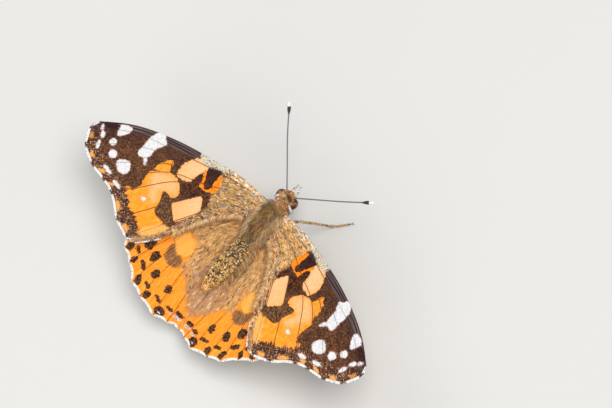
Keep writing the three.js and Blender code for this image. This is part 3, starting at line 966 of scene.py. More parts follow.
def choose(mix: HueMix, level: Array) -> Array:
    """Turns levels into shades, each hue getting its share of the mix.

    Args:
        mix: The hues and their weights.
        level: A level from 0 to 1 for each hair.

    Returns:
        Each hair's place on the ramp of hues.
    """
    weights = np.stack([np.broadcast_to(weight, level.shape) for _, weight in mix], 1)
    limits = np.cumsum(weights, axis=1) / weights.sum(1, keepdims=True)
    shades = np.array([hue.shade for hue, _ in mix])
    return shades[np.minimum((level[:, None] > limits).sum(1), len(shades) - 1)]


@dataclass
class Coat:
    """How one region's hairs or scales grow.

    Lengths run from the first to the second of a pair. Lift is a hair's slope at
    its root, bow how far it bends back, and stray the spread of its direction. A
    clump is a cell of one hue, and clumped is the share of hairs that keep to it.
    Belly is the width of a hair's middle over that of its root.
    """

    count: int
    length: Point
    width: float
    lift: float
    bow: float
    clump: float = 0.28
    clumped: float = 0.6
    stray: float = 0.25
    belly: float = 0.8

    def grow(self, roots: Roots, lay: Array, mix: HueMix, rng: np.random.Generator) -> Shape:
        """Grows the coat.

        Args:
            roots: Where it grows.
            lay: The direction that each hair lies in before it strays.
            mix: The hues and their weights.
            rng: The source of chance.

        Returns:
            The tufts.
        """
        count = len(roots.points)
        stray = rng.normal(0, self.stray, (count, 1))
        side = unit(np.cross(roots.normals, lay))
        lay = unit(lay + side * stray)
        lay = unit(lay - roots.normals * (lay * roots.normals).sum(1, keepdims=True))
        length = rng.uniform(*self.length, count)
        width = self.width * rng.uniform(0.7, 1.2, count)
        lift = self.lift * rng.uniform(0.5, 1.5, count)
        bow = self.bow * rng.uniform(0.6, 1.3, count)
        where = roots.points[:, :2] if roots.weave is None else roots.weave
        level = np.where(rng.random(count) < self.clumped,
                         cell_level(where, self.clump, rng), rng.random(count))
        return tufts(roots, lay, length, width, lift, bow, choose(mix, level), rng, self.belly)


# Wings


FOREWING_COAT = Coat(16000, (0.3, 0.6), 0.075, 0.12, 0.12, 0.16, 0.75, 0.16)
HINDWING_COAT = Coat(17000, (0.6, 1.2), 0.062, 0.09, 0.1, 0.13, 0.6, 0.12)
CELL_END = 0.6
VEIN_START = {"radius": 0.0, "media1": 0.6, "media2": 0.6, "media3": 0.0,
              "cubitus1": 0.44, "cubitus2": 0.32, "anal": 0.0}
FOREWING_RAYS = {
    "costa": [(-1.0, 0.9), (5.5, 0.85), (10, 0.1), (17.1, -1.4), (23.8, -3.7), (29.9, -7.9)],
    "radius": [(-1.0, 0.5), (6, -0.5), (10.5, -1.5), (15.6, -2.8), (22.1, -4.3), (30.35, -9.55)],
    "media1": [(-1.0, 0.1), (6, -1.2), (10.5, -2.5), (15.4, -3.7), (21.6, -6.2), (28.9, -12.4)],
    "media2": [(-1.0, -0.3), (5.8, -1.9), (10.3, -3.4), (15, -4.9), (20.3, -9), (25.8, -14.1)],
    "media3": [(-1.0, -0.7), (5.6, -2.55), (9.8, -4.4), (14.4, -6.1), (18.5, -10),
               (22.6, -14.7)],
    "cubitus1": [(-1.0, -1.1), (5.3, -2.95), (9.2, -4.9), (12.9, -6.8), (16.3, -11),
                 (20.1, -15.45)],
    "cubitus2": [(-1.0, -1.5), (4.7, -3.3), (7.8, -5.5), (10.2, -8.7), (13, -12.8),
                 (16.3, -18.2)],
    "anal": [(-1.0, -2.0), (3.6, -4), (5.8, -7), (8.1, -10.9), (10.4, -14.8), (13.1, -19.4)],
    "inner": [(-1.0, -2.8), (2.3, -4.7), (4.8, -7.6), (6.6, -11.2), (8, -14.9), (11.5, -19.1)],
}
HINDWING_RAYS = {
    "costa": [(0.3, -1.0), (5.2, -2.4), (9.6, -5), (13.4, -9.2), (16, -13.6), (17, -16.8)],
    "radius": [(0.3, -1.5), (4.9, -3.7), (8.7, -7.2), (12, -11.4), (14.6, -15.2), (16.4, -18.4)],
    "media1": [(0.3, -2.0), (4.6, -4.6), (7.9, -8.4), (10.7, -12.4), (13, -16.7), (14.6, -20.7)],
    "media2": [(0.3, -2.5), (4.3, -5.4), (7.1, -9.6), (9.4, -13.6), (11.2, -18), (12.4, -22.1)],
    "media3": [(0.3, -3.0), (4.0, -6.1), (6.3, -10.6), (8.1, -14.7), (9.3, -19.5), (9.85, -24.3)],
    "cubitus1": [(0.3, -3.5), (3.7, -6.8), (5.4, -11.5), (6.6, -15.8), (7.2, -20.3),
                 (7.25, -25.25)],
    "cubitus2": [(0.3, -4.0), (3.2, -7.6), (4.2, -12.4), (4.5, -16.6), (4.3, -21.2),
                 (3.6, -26.15)],
    "anal": [(0.2, -4.5), (2.1, -8.4), (2.2, -13), (2.0, -17.3), (1.5, -21.6), (1.2, -25.6)],
    "inner": [(0.0, -5.0), (-0.4, -7.8), (-0.7, -12), (-0.85, -16.5), (-0.88, -21),
              (-0.88, -25.2)],
}
CELL_PATCH = [(12.7, -1.3), (11.7, -1.2), (10.5, -1.4), (10.3, -2.4), (10.9, -3.4), (11.1, -4.8),
              (11.2, -5.5), (12.4, -6.1), (13.5, -6.2), (14.1, -5.0), (14.1, -3.6), (13.6, -2.5),
              (13.0, -1.7)]
CELL_TIP_PATCH = [(15.6, -4.4), (15.1, -5.3), (14.7, -6.2), (14.8, -7.0), (16.2, -7.3),
                  (17.3, -8.0), (17.1, -6.8), (16.7, -5.6), (16.1, -4.9)]
DISC_PATCH = [(17.3, -8.3), (16.3, -7.4), (15.0, -6.5), (13.5, -6.3), (12.4, -6.8), (11.6, -7.6),
              (11.1, -8.2), (11.2, -9.0), (11.9, -9.6), (12.6, -9.4), (13.5, -9.6), (13.1, -10.6),
              (12.6, -11.7), (12.7, -12.8), (11.9, -13.4), (10.8, -13.4), (9.9, -13.4),
              (10.1, -14.0), (10.9, -15.3), (11.9, -16.7), (12.5, -17.0), (13.1, -16.5),
              (13.7, -16.0), (14.5, -15.5), (15.4, -16.0), (16.3, -15.1), (17.7, -14.2),
              (18.2, -13.3), (17.5, -12.8), (17.0, -11.5), (17.3, -10.3), (17.6, -9.2)]
HIND_PATCH = [(7.9, -5.8), (7.2, -7.1), (6.6, -8.1), (6.8, -9.2), (7.4, -10.1), (7.8, -10.8),
              (8.5, -12.0), (8.9, -12.1), (9.4, -11.8), (10.3, -11.0), (11.2, -10.1),
              (10.3, -8.7), (9.0, -6.9), (8.4, -6.0)]
BASE_PATCH = [(8.3, -1.0), (7.2, -1.4), (6.7, -2.4), (6.5, -3.4), (6.8, -4.3), (7.9, -4.8),
              (8.7, -5.0), (9.6, -5.0), (10.0, -4.6), (10.0, -3.9), (10.4, -3.1), (10.8, -2.3),
              (10.4, -2.0), (9.8, -2.7), (9.0, -3.8), (8.4, -4.2), (8.3, -2.5)]
DISC_MIDDLE = [(16.6, -8.2), (15, -6.9), (13.5, -6.8), (12.2, -7.3), (11.6, -8.5), (12.4, -9.2),
               (13.6, -9.2), (14.4, -10), (13.6, -11.2), (13.4, -12.2), (14.6, -12), (15.9, -10.2),
               (16.6, -9.2)]
FOREWING_MARKS = {
    "patch": [CELL_PATCH, CELL_TIP_PATCH, DISC_PATCH, HIND_PATCH, BASE_PATCH,
              oval((18.0, -13.3), (0.6, 0.5))],
    "pale": [CELL_PATCH, HIND_PATCH, DISC_MIDDLE],
    "deep": [BASE_PATCH],
    "dark": [
        [(10.4, -0.7), (8.2, -0.7), (8.05, -2.5), (7.8, -4.4), (8.6, -4.8), (9.3, -4.2),
         (9.8, -3.0), (10.4, -2.0)],
        [(10.8, -3.1), (10.0, -3.2), (9.5, -5.0), (10.3, -5.6), (11.0, -4.8)],
        [(14.1, -5.9), (14.3, -4.0), (15.2, -4.3), (15.3, -5.2), (15.1, -6.1), (14.5, -6.5)],
        [(12.4, -6.5), (11.1, -5.7), (9.9, -5.3), (7.8, -5.0), (6.1, -5.9), (6.3, -7.4),
         (6.7, -7.5), (7.8, -5.9), (8.5, -6.1), (9.9, -8.3), (11.1, -10.0), (11.3, -9.0),
         (11.1, -8.2), (11.8, -7.3)],
        [(13.7, -9.5), (12.6, -9.3), (12.2, -9.6), (11.2, -10.2), (10.6, -10.8), (9.9, -11.5),
         (9.0, -12.2), (8.7, -12.9), (9.9, -13.4), (11.7, -13.5), (12.6, -12.7), (12.5, -11.7),
         (13.1, -10.6)],
        [(26.8, -5.9), (28.2, -6.6), (29.2, -7.6), (28.6, -8.0), (27.6, -7.9), (26.6, -7.6)],
    ],
    "white": [
        [(20.6, -2.5), (19.5, -2.3), (19.1, -3.0), (18.3, -3.3), (18.7, -4.1), (19.3, -4.9),
         (19.1, -6.9), (20.0, -7.6), (20.9, -7.8), (21.3, -7.1), (21.1, -5.9), (21.4, -4.8),
         (21.1, -3.5)],
        [(19.7, -7.2), (19.2, -7.3), (18.6, -8.3), (18.9, -8.5), (19.7, -7.7)],
        [(26.7, -5.9), (25.5, -5.2), (24.6, -5.1), (24.5, -6.0), (25.1, -7.1), (25.8, -7.7),
         (26.2, -7.3), (26.3, -6.6)],
        [(22.9, -10.9), (22.1, -10.0), (21.3, -9.6), (20.6, -10.0), (20.1, -10.8),
         (20.2, -11.6), (21.1, -12.1), (21.9, -12.0), (22.5, -11.4)],
        oval((25.6, -9.0), (0.62, 0.62)), oval((24.2, -10.5), (0.73, 0.7)),
        oval((28.8, -8.3), (0.25, 0.5), -35), oval((27.9, -9.2), (0.34, 0.6), -30),
        oval((27.3, -10.9), (0.32, 0.75), -18), oval((23.1, -13.1), (0.95, 0.3), 12),
        oval((20.2, -13.9), (0.85, 0.3), 12), oval((15.2, -12.7), (0.38, 0.38)),
    ],
    "cream": [[(12.9, 0.9), (3.0, 2.0), (3.0, 0.4), (9.0, -0.4), (10.5, -1.4), (12.9, -1.5)]],
    "sand": [[(8.0, -13.4), (10.2, -13.6), (11.2, -15.3), (12.5, -17.2), (12.0, -17.9),
              (10.4, -17.2), (9.0, -15.6)]],
    "hair": [[(-2.5, 2.6), (7.6, 2.0), (7.4, -0.9), (6.8, -1.8), (6.4, -3.0), (6.4, -4.1),
              (6.8, -4.8), (6.0, -5.6), (6.1, -7.3), (6.5, -8.2), (6.7, -9.4), (7.5, -11.0),
              (8.1, -12.2), (8.4, -13.3), (8.9, -14.5), (9.9, -16.4),
              (11.0, -17.6), (12.2, -18.6), (12.0, -20.2), (6.6, -20.7),
              (-2.5, -10.1)]],
}
HINDWING_MARKS = {
    "light": [[(8.9, -11.8), (7.2, -11.6), (5.4, -12.3), (5.0, -13.2), (5.4, -14.7),
               (6.0, -15.5), (7.6, -15.8), (8.6, -15.0), (9.2, -13.2)]],
    "smudge": [[(5.8, -15.8), (7.6, -16.0), (8.4, -14.6), (8.9, -14.9), (8.9, -16.6),
                (8.0, -18.0), (6.5, -18.1), (5.4, -17.2)], oval((7.0, -11.0), (0.5, 0.35))],
    "spot": [
        oval((11.8, -17.3), (1.0, 1.3)), oval((9.7, -18.5), (0.85, 1.05)),
        oval((7.7, -20.7), (0.72, 0.95), 10), oval((4.4, -21.3), (0.66, 0.85)),
        oval((12.6, -19.5), (0.8, 0.38), 35), oval((10.3, -20.9), (0.95, 0.45), 40),
        oval((7.6, -23.0), (0.8, 0.38), 22), oval((4.7, -23.6), (0.95, 0.36), 14),
        oval((14.0, -19.9), (0.6, 0.85)), oval((12.1, -21.2), (0.45, 0.82), 20),
        oval((9.35, -23.4), (0.55, 1.05), -20), oval((6.6, -24.4), (0.68, 0.78)),
        oval((3.2, -25.1), (1.0, 0.85)), oval((0.3, -23.3), (0.9, 0.4)),
        oval((2.2, -23.6), (0.7, 0.36)),
    ],
    "bloom": [oval((0.3, -24.0), (0.8, 0.2)), oval((2.0, -24.25), (0.5, 0.16)),
              oval((3.1, -25.3), (0.3, 0.1))],
    "hair": [[(9.4, 1.0), (9.3, -6), (8.6, -9.2), (8.3, -10.6), (7.3, -10.9), (6.0, -11.5),
              (5.2, -12.3), (5.0, -14), (5.3, -15.8), (4.9, -16.9), (3.6, -17.2), (2.6, -18.7),
              (1.2, -20.2), (-0.2, -21.6), (-2.9, -22.2), (-3.4, 1)]],
    "fold": [[(2.9, -16.0), (2.8, -18), (2.3, -20), (1.4, -21.4), (0.4, -22.6), (-2.9, -23.4),
              (-3.2, -13), (2.0, -13)]],
}
EYESPOTS = [((11.6, -17.6), 0.7), ((9.7, -18.5), 0.85), ((7.8, -20.6), 0.7), ((4.8, -21.2), 0.8)]


@dataclass
class Wing:
    """One kind of wing, as a thin closed sheet on a chart of nine rays.

    A chart point lies a share w of the way from one ray to the next, at t along
    both, and near the margin it moves onto a curve through the ray ends, less a
    scallop of 4w(1 - w) between them.
    """

    side: Side
    half_thickness: float = 0.07
    ridge: float = 0.11
    ridge_width: float = 0.16
    pleat: float = 0.1
    steps_between: int = 20
    rows: int = 170

    name = "wing"
    slot: Slot = Slot.FOREWING
    coat: Coat = field(default_factory=lambda: FOREWING_COAT)
    rays: dict[str, list[Point]] = field(default_factory=dict)
    marks: dict[str, list[Outline]] = field(default_factory=dict)
    scallop: float = 0.0
    hinge: Point3 = (0.0, 0.0, 0.0)
    slope: float = 0.0
    sweep: dict[Side, float] = field(default_factory=dict)
    streak: float = 0.2
    fringe_start: float = 0.98
    fringe_length: Point = (0.3, 0.46)

    def __post_init__(self) -> None:
        """Works out the chart once."""
        share = np.arange(self.steps_between) / self.steps_between
        share = share - 0.08 * np.sin(2 * np.pi * share)
        gaps = np.arange(len(self.rays) - 1)
        self.across = np.append((gaps[:, None] + share[None]).ravel(), len(gaps))
        self.along = np.linspace(0, 1, self.rows)
        lines = np.stack([catmull_rom(ray, self.along) for ray in self.rays.values()])
        behind = np.stack([catmull_rom(ray, np.maximum(self.along - 0.1, 0))
                           for ray in self.rays.values()])
        left = np.minimum(self.across.astype(int), len(gaps) - 1)
        w = (self.across - left)[:, None, None]
        straight = lines[left] * (1 - w) + lines[left + 1] * w
        margin = catmull_rom(lines[:, -1], self.across / len(gaps))[:, None]
        onward = unit(lines[left] - behind[left])
        dip = self.scallop * 4 * w * (1 - w)
        pull = (self.along**6)[None, :, None]
        chart = straight + ((margin - straight) - onward * dip) * pull
        self.chart = chart.transpose(1, 0, 2)
        self.gap = np.linalg.norm(lines[left + 1] - lines[left], axis=2).T
        self.share = (self.across - left)[None]
        self.left = left

    def drop(self, outward: Array, forward: Array) -> Array:
        """How far the wing droops below its slope."""
        raise NotImplementedError

    def vein_distances(self) -> Array:
        """The distance to the nearest vein, by the share of the gap between two rays."""
        starts = [VEIN_START.get(name, 2.0) for name in self.rays]
        distance = np.full(self.gap.shape, 3.0)
        for ray, far in ((self.left, self.share), (self.left + 1, 1 - self.share)):
            begun = self.along[:, None] >= np.array(starts)[ray][None]
            distance = np.minimum(distance, np.where(begun, far * self.gap, 3.0))
        row = int(np.argmin(np.abs(self.along - CELL_END)))
        crossing = np.linalg.norm(self.chart - self.chart[row][None], axis=2)
        in_cell = (self.across >= 1) & (self.across <= 4)
        return np.minimum(distance, np.where(in_cell[None], crossing, 3.0))

    def relief(self, face: int) -> Array:
        """Height above the droop: the membrane's pleats, and half its thickness with veins.

        Args:
            face: 1 for the upper side and -1 for the underside.

        Returns:
            A height for each point of the chart.
        """
        fold = np.sin(np.pi * self.share) ** 2 * smoothstep(self.gap, 0.5, 2.5)
        crest = np.exp(-((self.vein_distances() / self.ridge_width) ** 2))
        crest = crest * (1 - 0.6 * self.along[:, None]) * (1.0 if face > 0 else 0.5)
        rim = 1 - 0.5 * smoothstep(self.along, 0.97, 1.0)[:, None]
        half = self.half_thickness * rim + self.ridge * crest
        return -self.pleat * fold + face * half

    def surface(self, face: int) -> Array:
        """The grid of one face on the insect's axes.

        Each point of the chart is turned by the wing's sweep, raised by its slope
        and relief and lowered by its droop, and moved to the hinge.

        Args:
            face: 1 for the upper side and -1 for the underside.

        Returns:
            The points of the grid.
        """
        turn = math.radians(self.sweep[self.side])
        c, s = math.cos(turn), math.sin(turn)
        x = self.chart[..., 0] * c - self.chart[..., 1] * s
        y = self.chart[..., 0] * s + self.chart[..., 1] * c
        z = x * math.sin(self.slope) - self.drop(x, y) + self.relief(face)
        placed = np.stack([x * math.cos(self.slope), y, z], 2) + np.array(self.hinge)
        return placed * np.array([self.side.value, 1, 1])

    def values(self) -> dict[str, Array]:
        """What the finish reads at each point: depths inside marks, and distances."""
        flat = self.chart.reshape(-1, 2)
        shape = self.chart.shape[:2]
        found = {name: depth_inside(flat, outlines).reshape(shape)
                 for name, outlines in self.marks.items()}
        found["edge"] = line_distance(flat, self.chart[-1]).reshape(shape)
        found["costa"] = line_distance(flat, self.chart[:, 0]).reshape(shape)
        found["inner"] = line_distance(flat, self.chart[:, -1]).reshape(shape)
        found["vein"] = self.vein_distances()
        found["across"] = np.broadcast_to(self.across[None], shape)
        found["along"] = np.broadcast_to(self.along[:, None], shape)
        centres = np.array([centre for centre, _ in EYESPOTS])
        reach = np.array([radius for _, radius in EYESPOTS])
        rings = np.linalg.norm(flat[:, None] - centres, axis=2) / reach
        found["ring"] = np.minimum(rings.min(1), 3).reshape(shape)
        return found

    def sheet(self) -> Shape:
        """The two faces and the strip round their rim."""
        rows, columns = self.chart.shape[:2]
        upper, lower = self.surface(1), self.surface(-1)
        quads = grid_quads(rows, columns)
        count = rows * columns
        number = np.arange(count).reshape(rows, columns)
        rim = np.concatenate([number[0], number[1:, -1], number[-1, -2::-1], number[-2:0:-1, 0]])
        after = np.roll(rim, -1)
        strip = np.stack([rim, rim + count, after + count, after], 1)
        values = {key: np.tile(grid.ravel(), 2) for key, grid in self.painted.items()}
        values["top"] = np.repeat([1.0, 0.0], count)
        points = np.vstack([upper.reshape(-1, 3), lower.reshape(-1, 3)])
        return Shape(points, [quads, quads[:, ::-1] + count, strip], values).outward()

    def coat_mix(self, roots: Roots) -> HueMix:
        """The hues of the hairs on the wing's base."""
        raise NotImplementedError

    def build(self, material: bpy.types.Material, hair: bpy.types.Material,
              rng: np.random.Generator) -> None:
        """Makes the sheet, the hairs on its base and the fringe round its margin.

        Args:
            material: The finish of the sheet.
            hair: The finish of hairs and fringe.
            rng: The source of chance.
        """
        self.painted = self.values()
        word = f"{self.name}_{self.side.word}"
        make_piece(f"{word}_membrane", self.sheet(), material, [word])
        ground = Ground(self.surface(1), np.array([0, 0, 1.0]))
        density = smoothstep(self.painted["hair"], -0.35, 0.3)
        roots = ground.roots(density, self.coat.count, rng, self.painted)
        roots.weave = np.stack([roots.values["across"], roots.values["along"] / self.streak], 1)
        hairs = self.coat.grow(roots, roots.onward, self.coat_mix(roots), rng)
        make_piece(f"{word}_hair", hairs, hair)
        make_piece(f"{word}_fringe", self.fringe(rng), hair)

    def fringe_mix(self, across: Array, distance: Array) -> HueMix:
        """The hues of the fringe, by place along the margin and distance from a vein."""
        raise NotImplementedError

    def margin_roots(self, rim: Array, inner: Array, across: Array, width: Array,
                     per_mm: float, rng: np.random.Generator) -> tuple[Roots, Array, Array]:
        """Scatters roots along a margin, a little further in at the veins.

        Args:
            rim: Points along the margin.
            inner: Points inside the margin that go with them.
            across: The chart's place across the rays at each.
            width: The width of the gap between two rays at each.
            per_mm: How many roots to a millimetre.
            rng: The source of chance.

        Returns:
            The roots, their places across the rays, and their distances from a vein.
        """
        length = np.append(0, np.cumsum(np.linalg.norm(np.diff(rim, axis=0), axis=1)))
        count = int(length[-1] * per_mm)
        place = np.sort(rng.random(count)) * length[-1]
        column = np.interp(place, length, np.arange(len(length)))

        def at(grid: Array) -> Array:
            """The grid's value at each place along the margin."""
            return np.stack([np.interp(column, np.arange(len(grid)), grid[:, k])
                             for k in range(3)], 1)

        along = unit(at(np.gradient(rim, axis=0)))
        growth = at(rim - inner)
        normal = unit(np.cross(along, growth))
        normal = normal * np.sign(normal[:, 2:])
        outward = unit(growth - along * (growth * along).sum(1, keepdims=True))
        across = np.interp(column, np.arange(len(across)), across)
        near = np.abs(across - np.round(across)) * np.interp(column, np.arange(len(width)), width)
        layer = rng.choice([-0.03, 0.03], count)
        inset = 0.05 + 0.12 * (1 - smoothstep(near, 0.2, 0.5))
        points = at(rim) - outward * inset[:, None] + normal * layer[:, None]
        share = np.stack([across / 10, np.full(count, 0.99)], 1)
        return Roots(points, normal, outward, share), across, near

    def fringe(self, rng: np.random.Generator) -> Shape:
        """Scales that stand out from the margin and the rear corner, in two layers."""
        middle = (self.surface(1) + self.surface(-1)) / 2
        start = int(self.fringe_start * self.rows)
        first = self.steps_between // 2
        rim = np.vstack([middle[-1, first:], middle[-2:start:-1, -1]])
        inner = np.vstack([middle[-6, first:], middle[-2:start:-1, -5]])
        turned = self.rows - 2 - start
        width = np.append(self.gap[-1, first:], np.full(turned, 8.0))
        across = np.append(self.across[first:], np.linspace(8.3, 9.3, turned))
        roots, across, near = self.margin_roots(rim, inner, across, width, 28, rng)
        scales = Coat(len(near), self.fringe_length, 0.11, 0.08, 0.1, 0.2, 0.3, 0.12, 1.1)
        return scales.grow(roots, roots.onward, self.fringe_mix(across, near), rng)


@dataclass
class Forewing(Wing):
    """The forewing, whose tip and leading edge droop."""

    name = "forewing"
    rays: dict[str, list[Point]] = field(default_factory=lambda: FOREWING_RAYS)
    marks: dict[str, list[Outline]] = field(default_factory=lambda: FOREWING_MARKS)
    scallop: float = 0.15
    hinge: Point3 = (2.5, 0.0, 0.0)
    slope: float = math.radians(14)
    sweep: dict[Side, float] = field(
        default_factory=lambda: {Side.LEFT: 0.6, Side.RIGHT: -1.8})
    streak: float = 0.08
    fringe_start: float = 0.78

    def drop(self, outward: Array, forward: Array) -> Array:
        """0.9 mm of droop at the tip, squared, and 0.35 mm along the leading edge."""
        return (0.9 * smoothstep(outward, 16, 31) ** 2
                + 0.35 * smoothstep(forward + 0.32 * outward, -1.5, 2.5))

    def coat_mix(self, roots: Roots) -> HueMix:
        """Speckled tan and olive, black and cream along the costa, mauve behind."""
        front = 1 - smoothstep(roots.values["costa"], 0.4, 1.4)
        behind = 1 - smoothstep(roots.values["inner"], 0.4, 1.2)
        outer = smoothstep(-roots.values["hair"], -1.6, 0.0)
        vein = 2.5 * np.exp(-((roots.values["vein"] / 0.2) ** 2)) * (1 - front)
        left = 0.8 * (self.side is Side.LEFT)
        return [(Hue.TAN, 1.3 - 0.4 * behind), (Hue.OLIVE, 0.6 + left - 0.3 * front),
                (Hue.STRAW, 1.6 - 1.1 * behind), (Hue.BLACK, 0.25 + 0.2 * front),
                (Hue.UMBER, 0.5 + 0.2 * outer + 0.5 * behind + 1.6 * vein),
                (Hue.MAUVE, 0.1 + 1.8 * behind),
                (Hue.CREAM, 0.5 + 2.4 * front), (Hue.SLATE, 0.1 + 1.0 * front + vein),
                (Hue.WHITE, 1.4 * front), (Hue.ORANGE, 0.35 * (1 - front) * (1 - left))]

    def trail(self, hair: bpy.types.Material, rng: np.random.Generator) -> None:
        """Makes the long hairs that trail back from the inner margin over the hindwing."""
        middle = (self.surface(1) + self.surface(-1)) / 2
        rows = slice(int(0.1 * self.rows), int(0.7 * self.rows))
        rim, inner = middle[rows, -1], middle[rows, -5]
        flat = np.full(len(rim), 0.5)
        roots, _, _ = self.margin_roots(rim, inner, flat, flat * 10, 160, rng)
        mix = [(Hue.TAN, 1.2), (Hue.MAUVE, 1.0), (Hue.STRAW, 1.0), (Hue.OLIVE, 0.6),
               (Hue.CREAM, 0.6), (Hue.UMBER, 0.2)]
        coat = Coat(len(roots.points), (0.6, 1.5), 0.06, 0.05, 0.12, 0.15, 0.5, 0.3)
        lay = unit(roots.onward + np.array([[0, -0.7, 0]]))
        make_piece(f"forewing_{self.side.word}_trail", coat.grow(roots, lay, mix, rng), hair)

    def fringe_mix(self, across: Array, distance: Array) -> HueMix:
        """White between the veins and dark at them, whiter towards the rear corner."""
        check = (1 - smoothstep(distance, 0.25, 0.6)) * (1 - 0.75 * smoothstep(across, 4.5, 7))
        upper = smoothstep(across, 8.4, 9.1)
        return [(Hue.WHITE, 1.8 * (1 - check) + 0.05), (Hue.CREAM, 0.3 * (1 - check)),
                (Hue.UMBER, 1.2 * check + 0.03 + 0.3 * upper), (Hue.BLACK, 0.6 * check),
                (Hue.LILAC, 0.25 * (1 - check) + 1.2 * upper), (Hue.MAUVE, 1.2 * upper)]


@dataclass
class Hindwing(Wing):
    """The hindwing, whose inner margin folds down round the abdomen."""

    name = "hindwing"
    slot: Slot = Slot.HINDWING
    coat: Coat = field(default_factory=lambda: HINDWING_COAT)
    rays: dict[str, list[Point]] = field(default_factory=lambda: HINDWING_RAYS)
    marks: dict[str, list[Outline]] = field(default_factory=lambda: HINDWING_MARKS)
    scallop: float = 0.4
    hinge: Point3 = (1.0, 0.0, -2.1)
    slope: float = math.radians(16)
    sweep: dict[Side, float] = field(
        default_factory=lambda: {Side.LEFT: -0.4, Side.RIGHT: 0.0})
    pleat: float = 0.14
    streak: float = 0.2

    def drop(self, outward: Array, forward: Array) -> Array:
        """0.6 mm down at the inner margin."""
        return 0.6 * (1 - smoothstep(outward, -0.8, 3.6))

    def coat_mix(self, roots: Roots) -> HueMix:
        """Tan hair, mauve in the fold beside the abdomen and orange at its outer edge."""
        fold = smoothstep(roots.values["fold"], -0.7, 0.5)
        outer = 1 - smoothstep(roots.values["hair"], -0.2, 1.6)
        front = smoothstep(roots.points[:, 1], -14, -7)
        return [(Hue.TAN, 1.6 - 0.5 * fold), (Hue.MAUVE, 0.5 + 2.0 * fold),
                (Hue.STRAW, 1.3 * (1 - 0.7 * fold)), (Hue.OLIVE, 0.4 + 0.5 * front),
                (Hue.UMBER, 0.4 * (1 - fold) + 0.05),
                (Hue.BLACK, (0.06 + 0.15 * front) * (1 - fold)),
                (Hue.ORANGE, 0.15 + 1.0 * outer * (1 - front)), (Hue.RUST, 0.1),
                (Hue.CREAM, 0.35)]

    def fringe_mix(self, across: Array, distance: Array) -> HueMix:
        """Cream white, with a little brown at the veins."""
        check = 1 - smoothstep(distance, 0.15, 0.5)
        return [(Hue.WHITE, 1.6), (Hue.CREAM, 0.6), (Hue.UMBER, 0.5 * check),
                (Hue.TAN, 0.1)]


# Body


BODY_STATIONS = [
    # forward, half width, half height, height of the axis
    (4.45, 0.05, 0.05, -1.75), (4.38, 0.5, 0.42, -1.75), (4.1, 1.05, 0.9, -1.74),
    (3.6, 1.42, 1.22, -1.72), (3.1, 1.5, 1.3, -1.72), (2.6, 1.4, 1.22, -1.66),
    (2.2, 1.2, 1.08, -1.55), (1.95, 1.12, 1.05, -1.46), (1.6, 1.35, 1.28, -1.34),
    (1.1, 1.78, 1.68, -1.22), (0.3, 2.15, 2.05, -1.08), (-1.0, 2.35, 2.25, -0.95),
    (-2.5, 2.36, 2.25, -0.9), (-4.0, 2.15, 2.05, -0.84), (-5.2, 1.75, 1.7, -0.74),
    (-6.1, 1.45, 1.45, -0.58), (-7.0, 1.48, 1.48, -0.48), (-8.5, 1.6, 1.6, -0.36),
    (-10.0, 1.66, 1.64, -0.22), (-12.0, 1.62, 1.6, -0.06), (-14.0, 1.45, 1.44, 0.1),
    (-15.5, 1.18, 1.18, 0.22), (-16.6, 0.82, 0.82, 0.3), (-17.2, 0.42, 0.42, 0.34),
    (-17.4, 0.05, 0.05, 0.35),
]
EYE_CENTRE = (1.22, 3.15, -1.7)
EYE_RADII = (1.0, 1.02, 0.98)


def eye_reach(points: Array) -> Array:
    """Distance from the nearer eye's middle, with each axis in units of its radius."""
    centre, radii = np.array(EYE_CENTRE), np.array(EYE_RADII)
    offset = np.stack([np.abs(points[:, 0]), points[:, 1], points[:, 2]], 1) - centre
    return np.linalg.norm(offset / radii, axis=1)


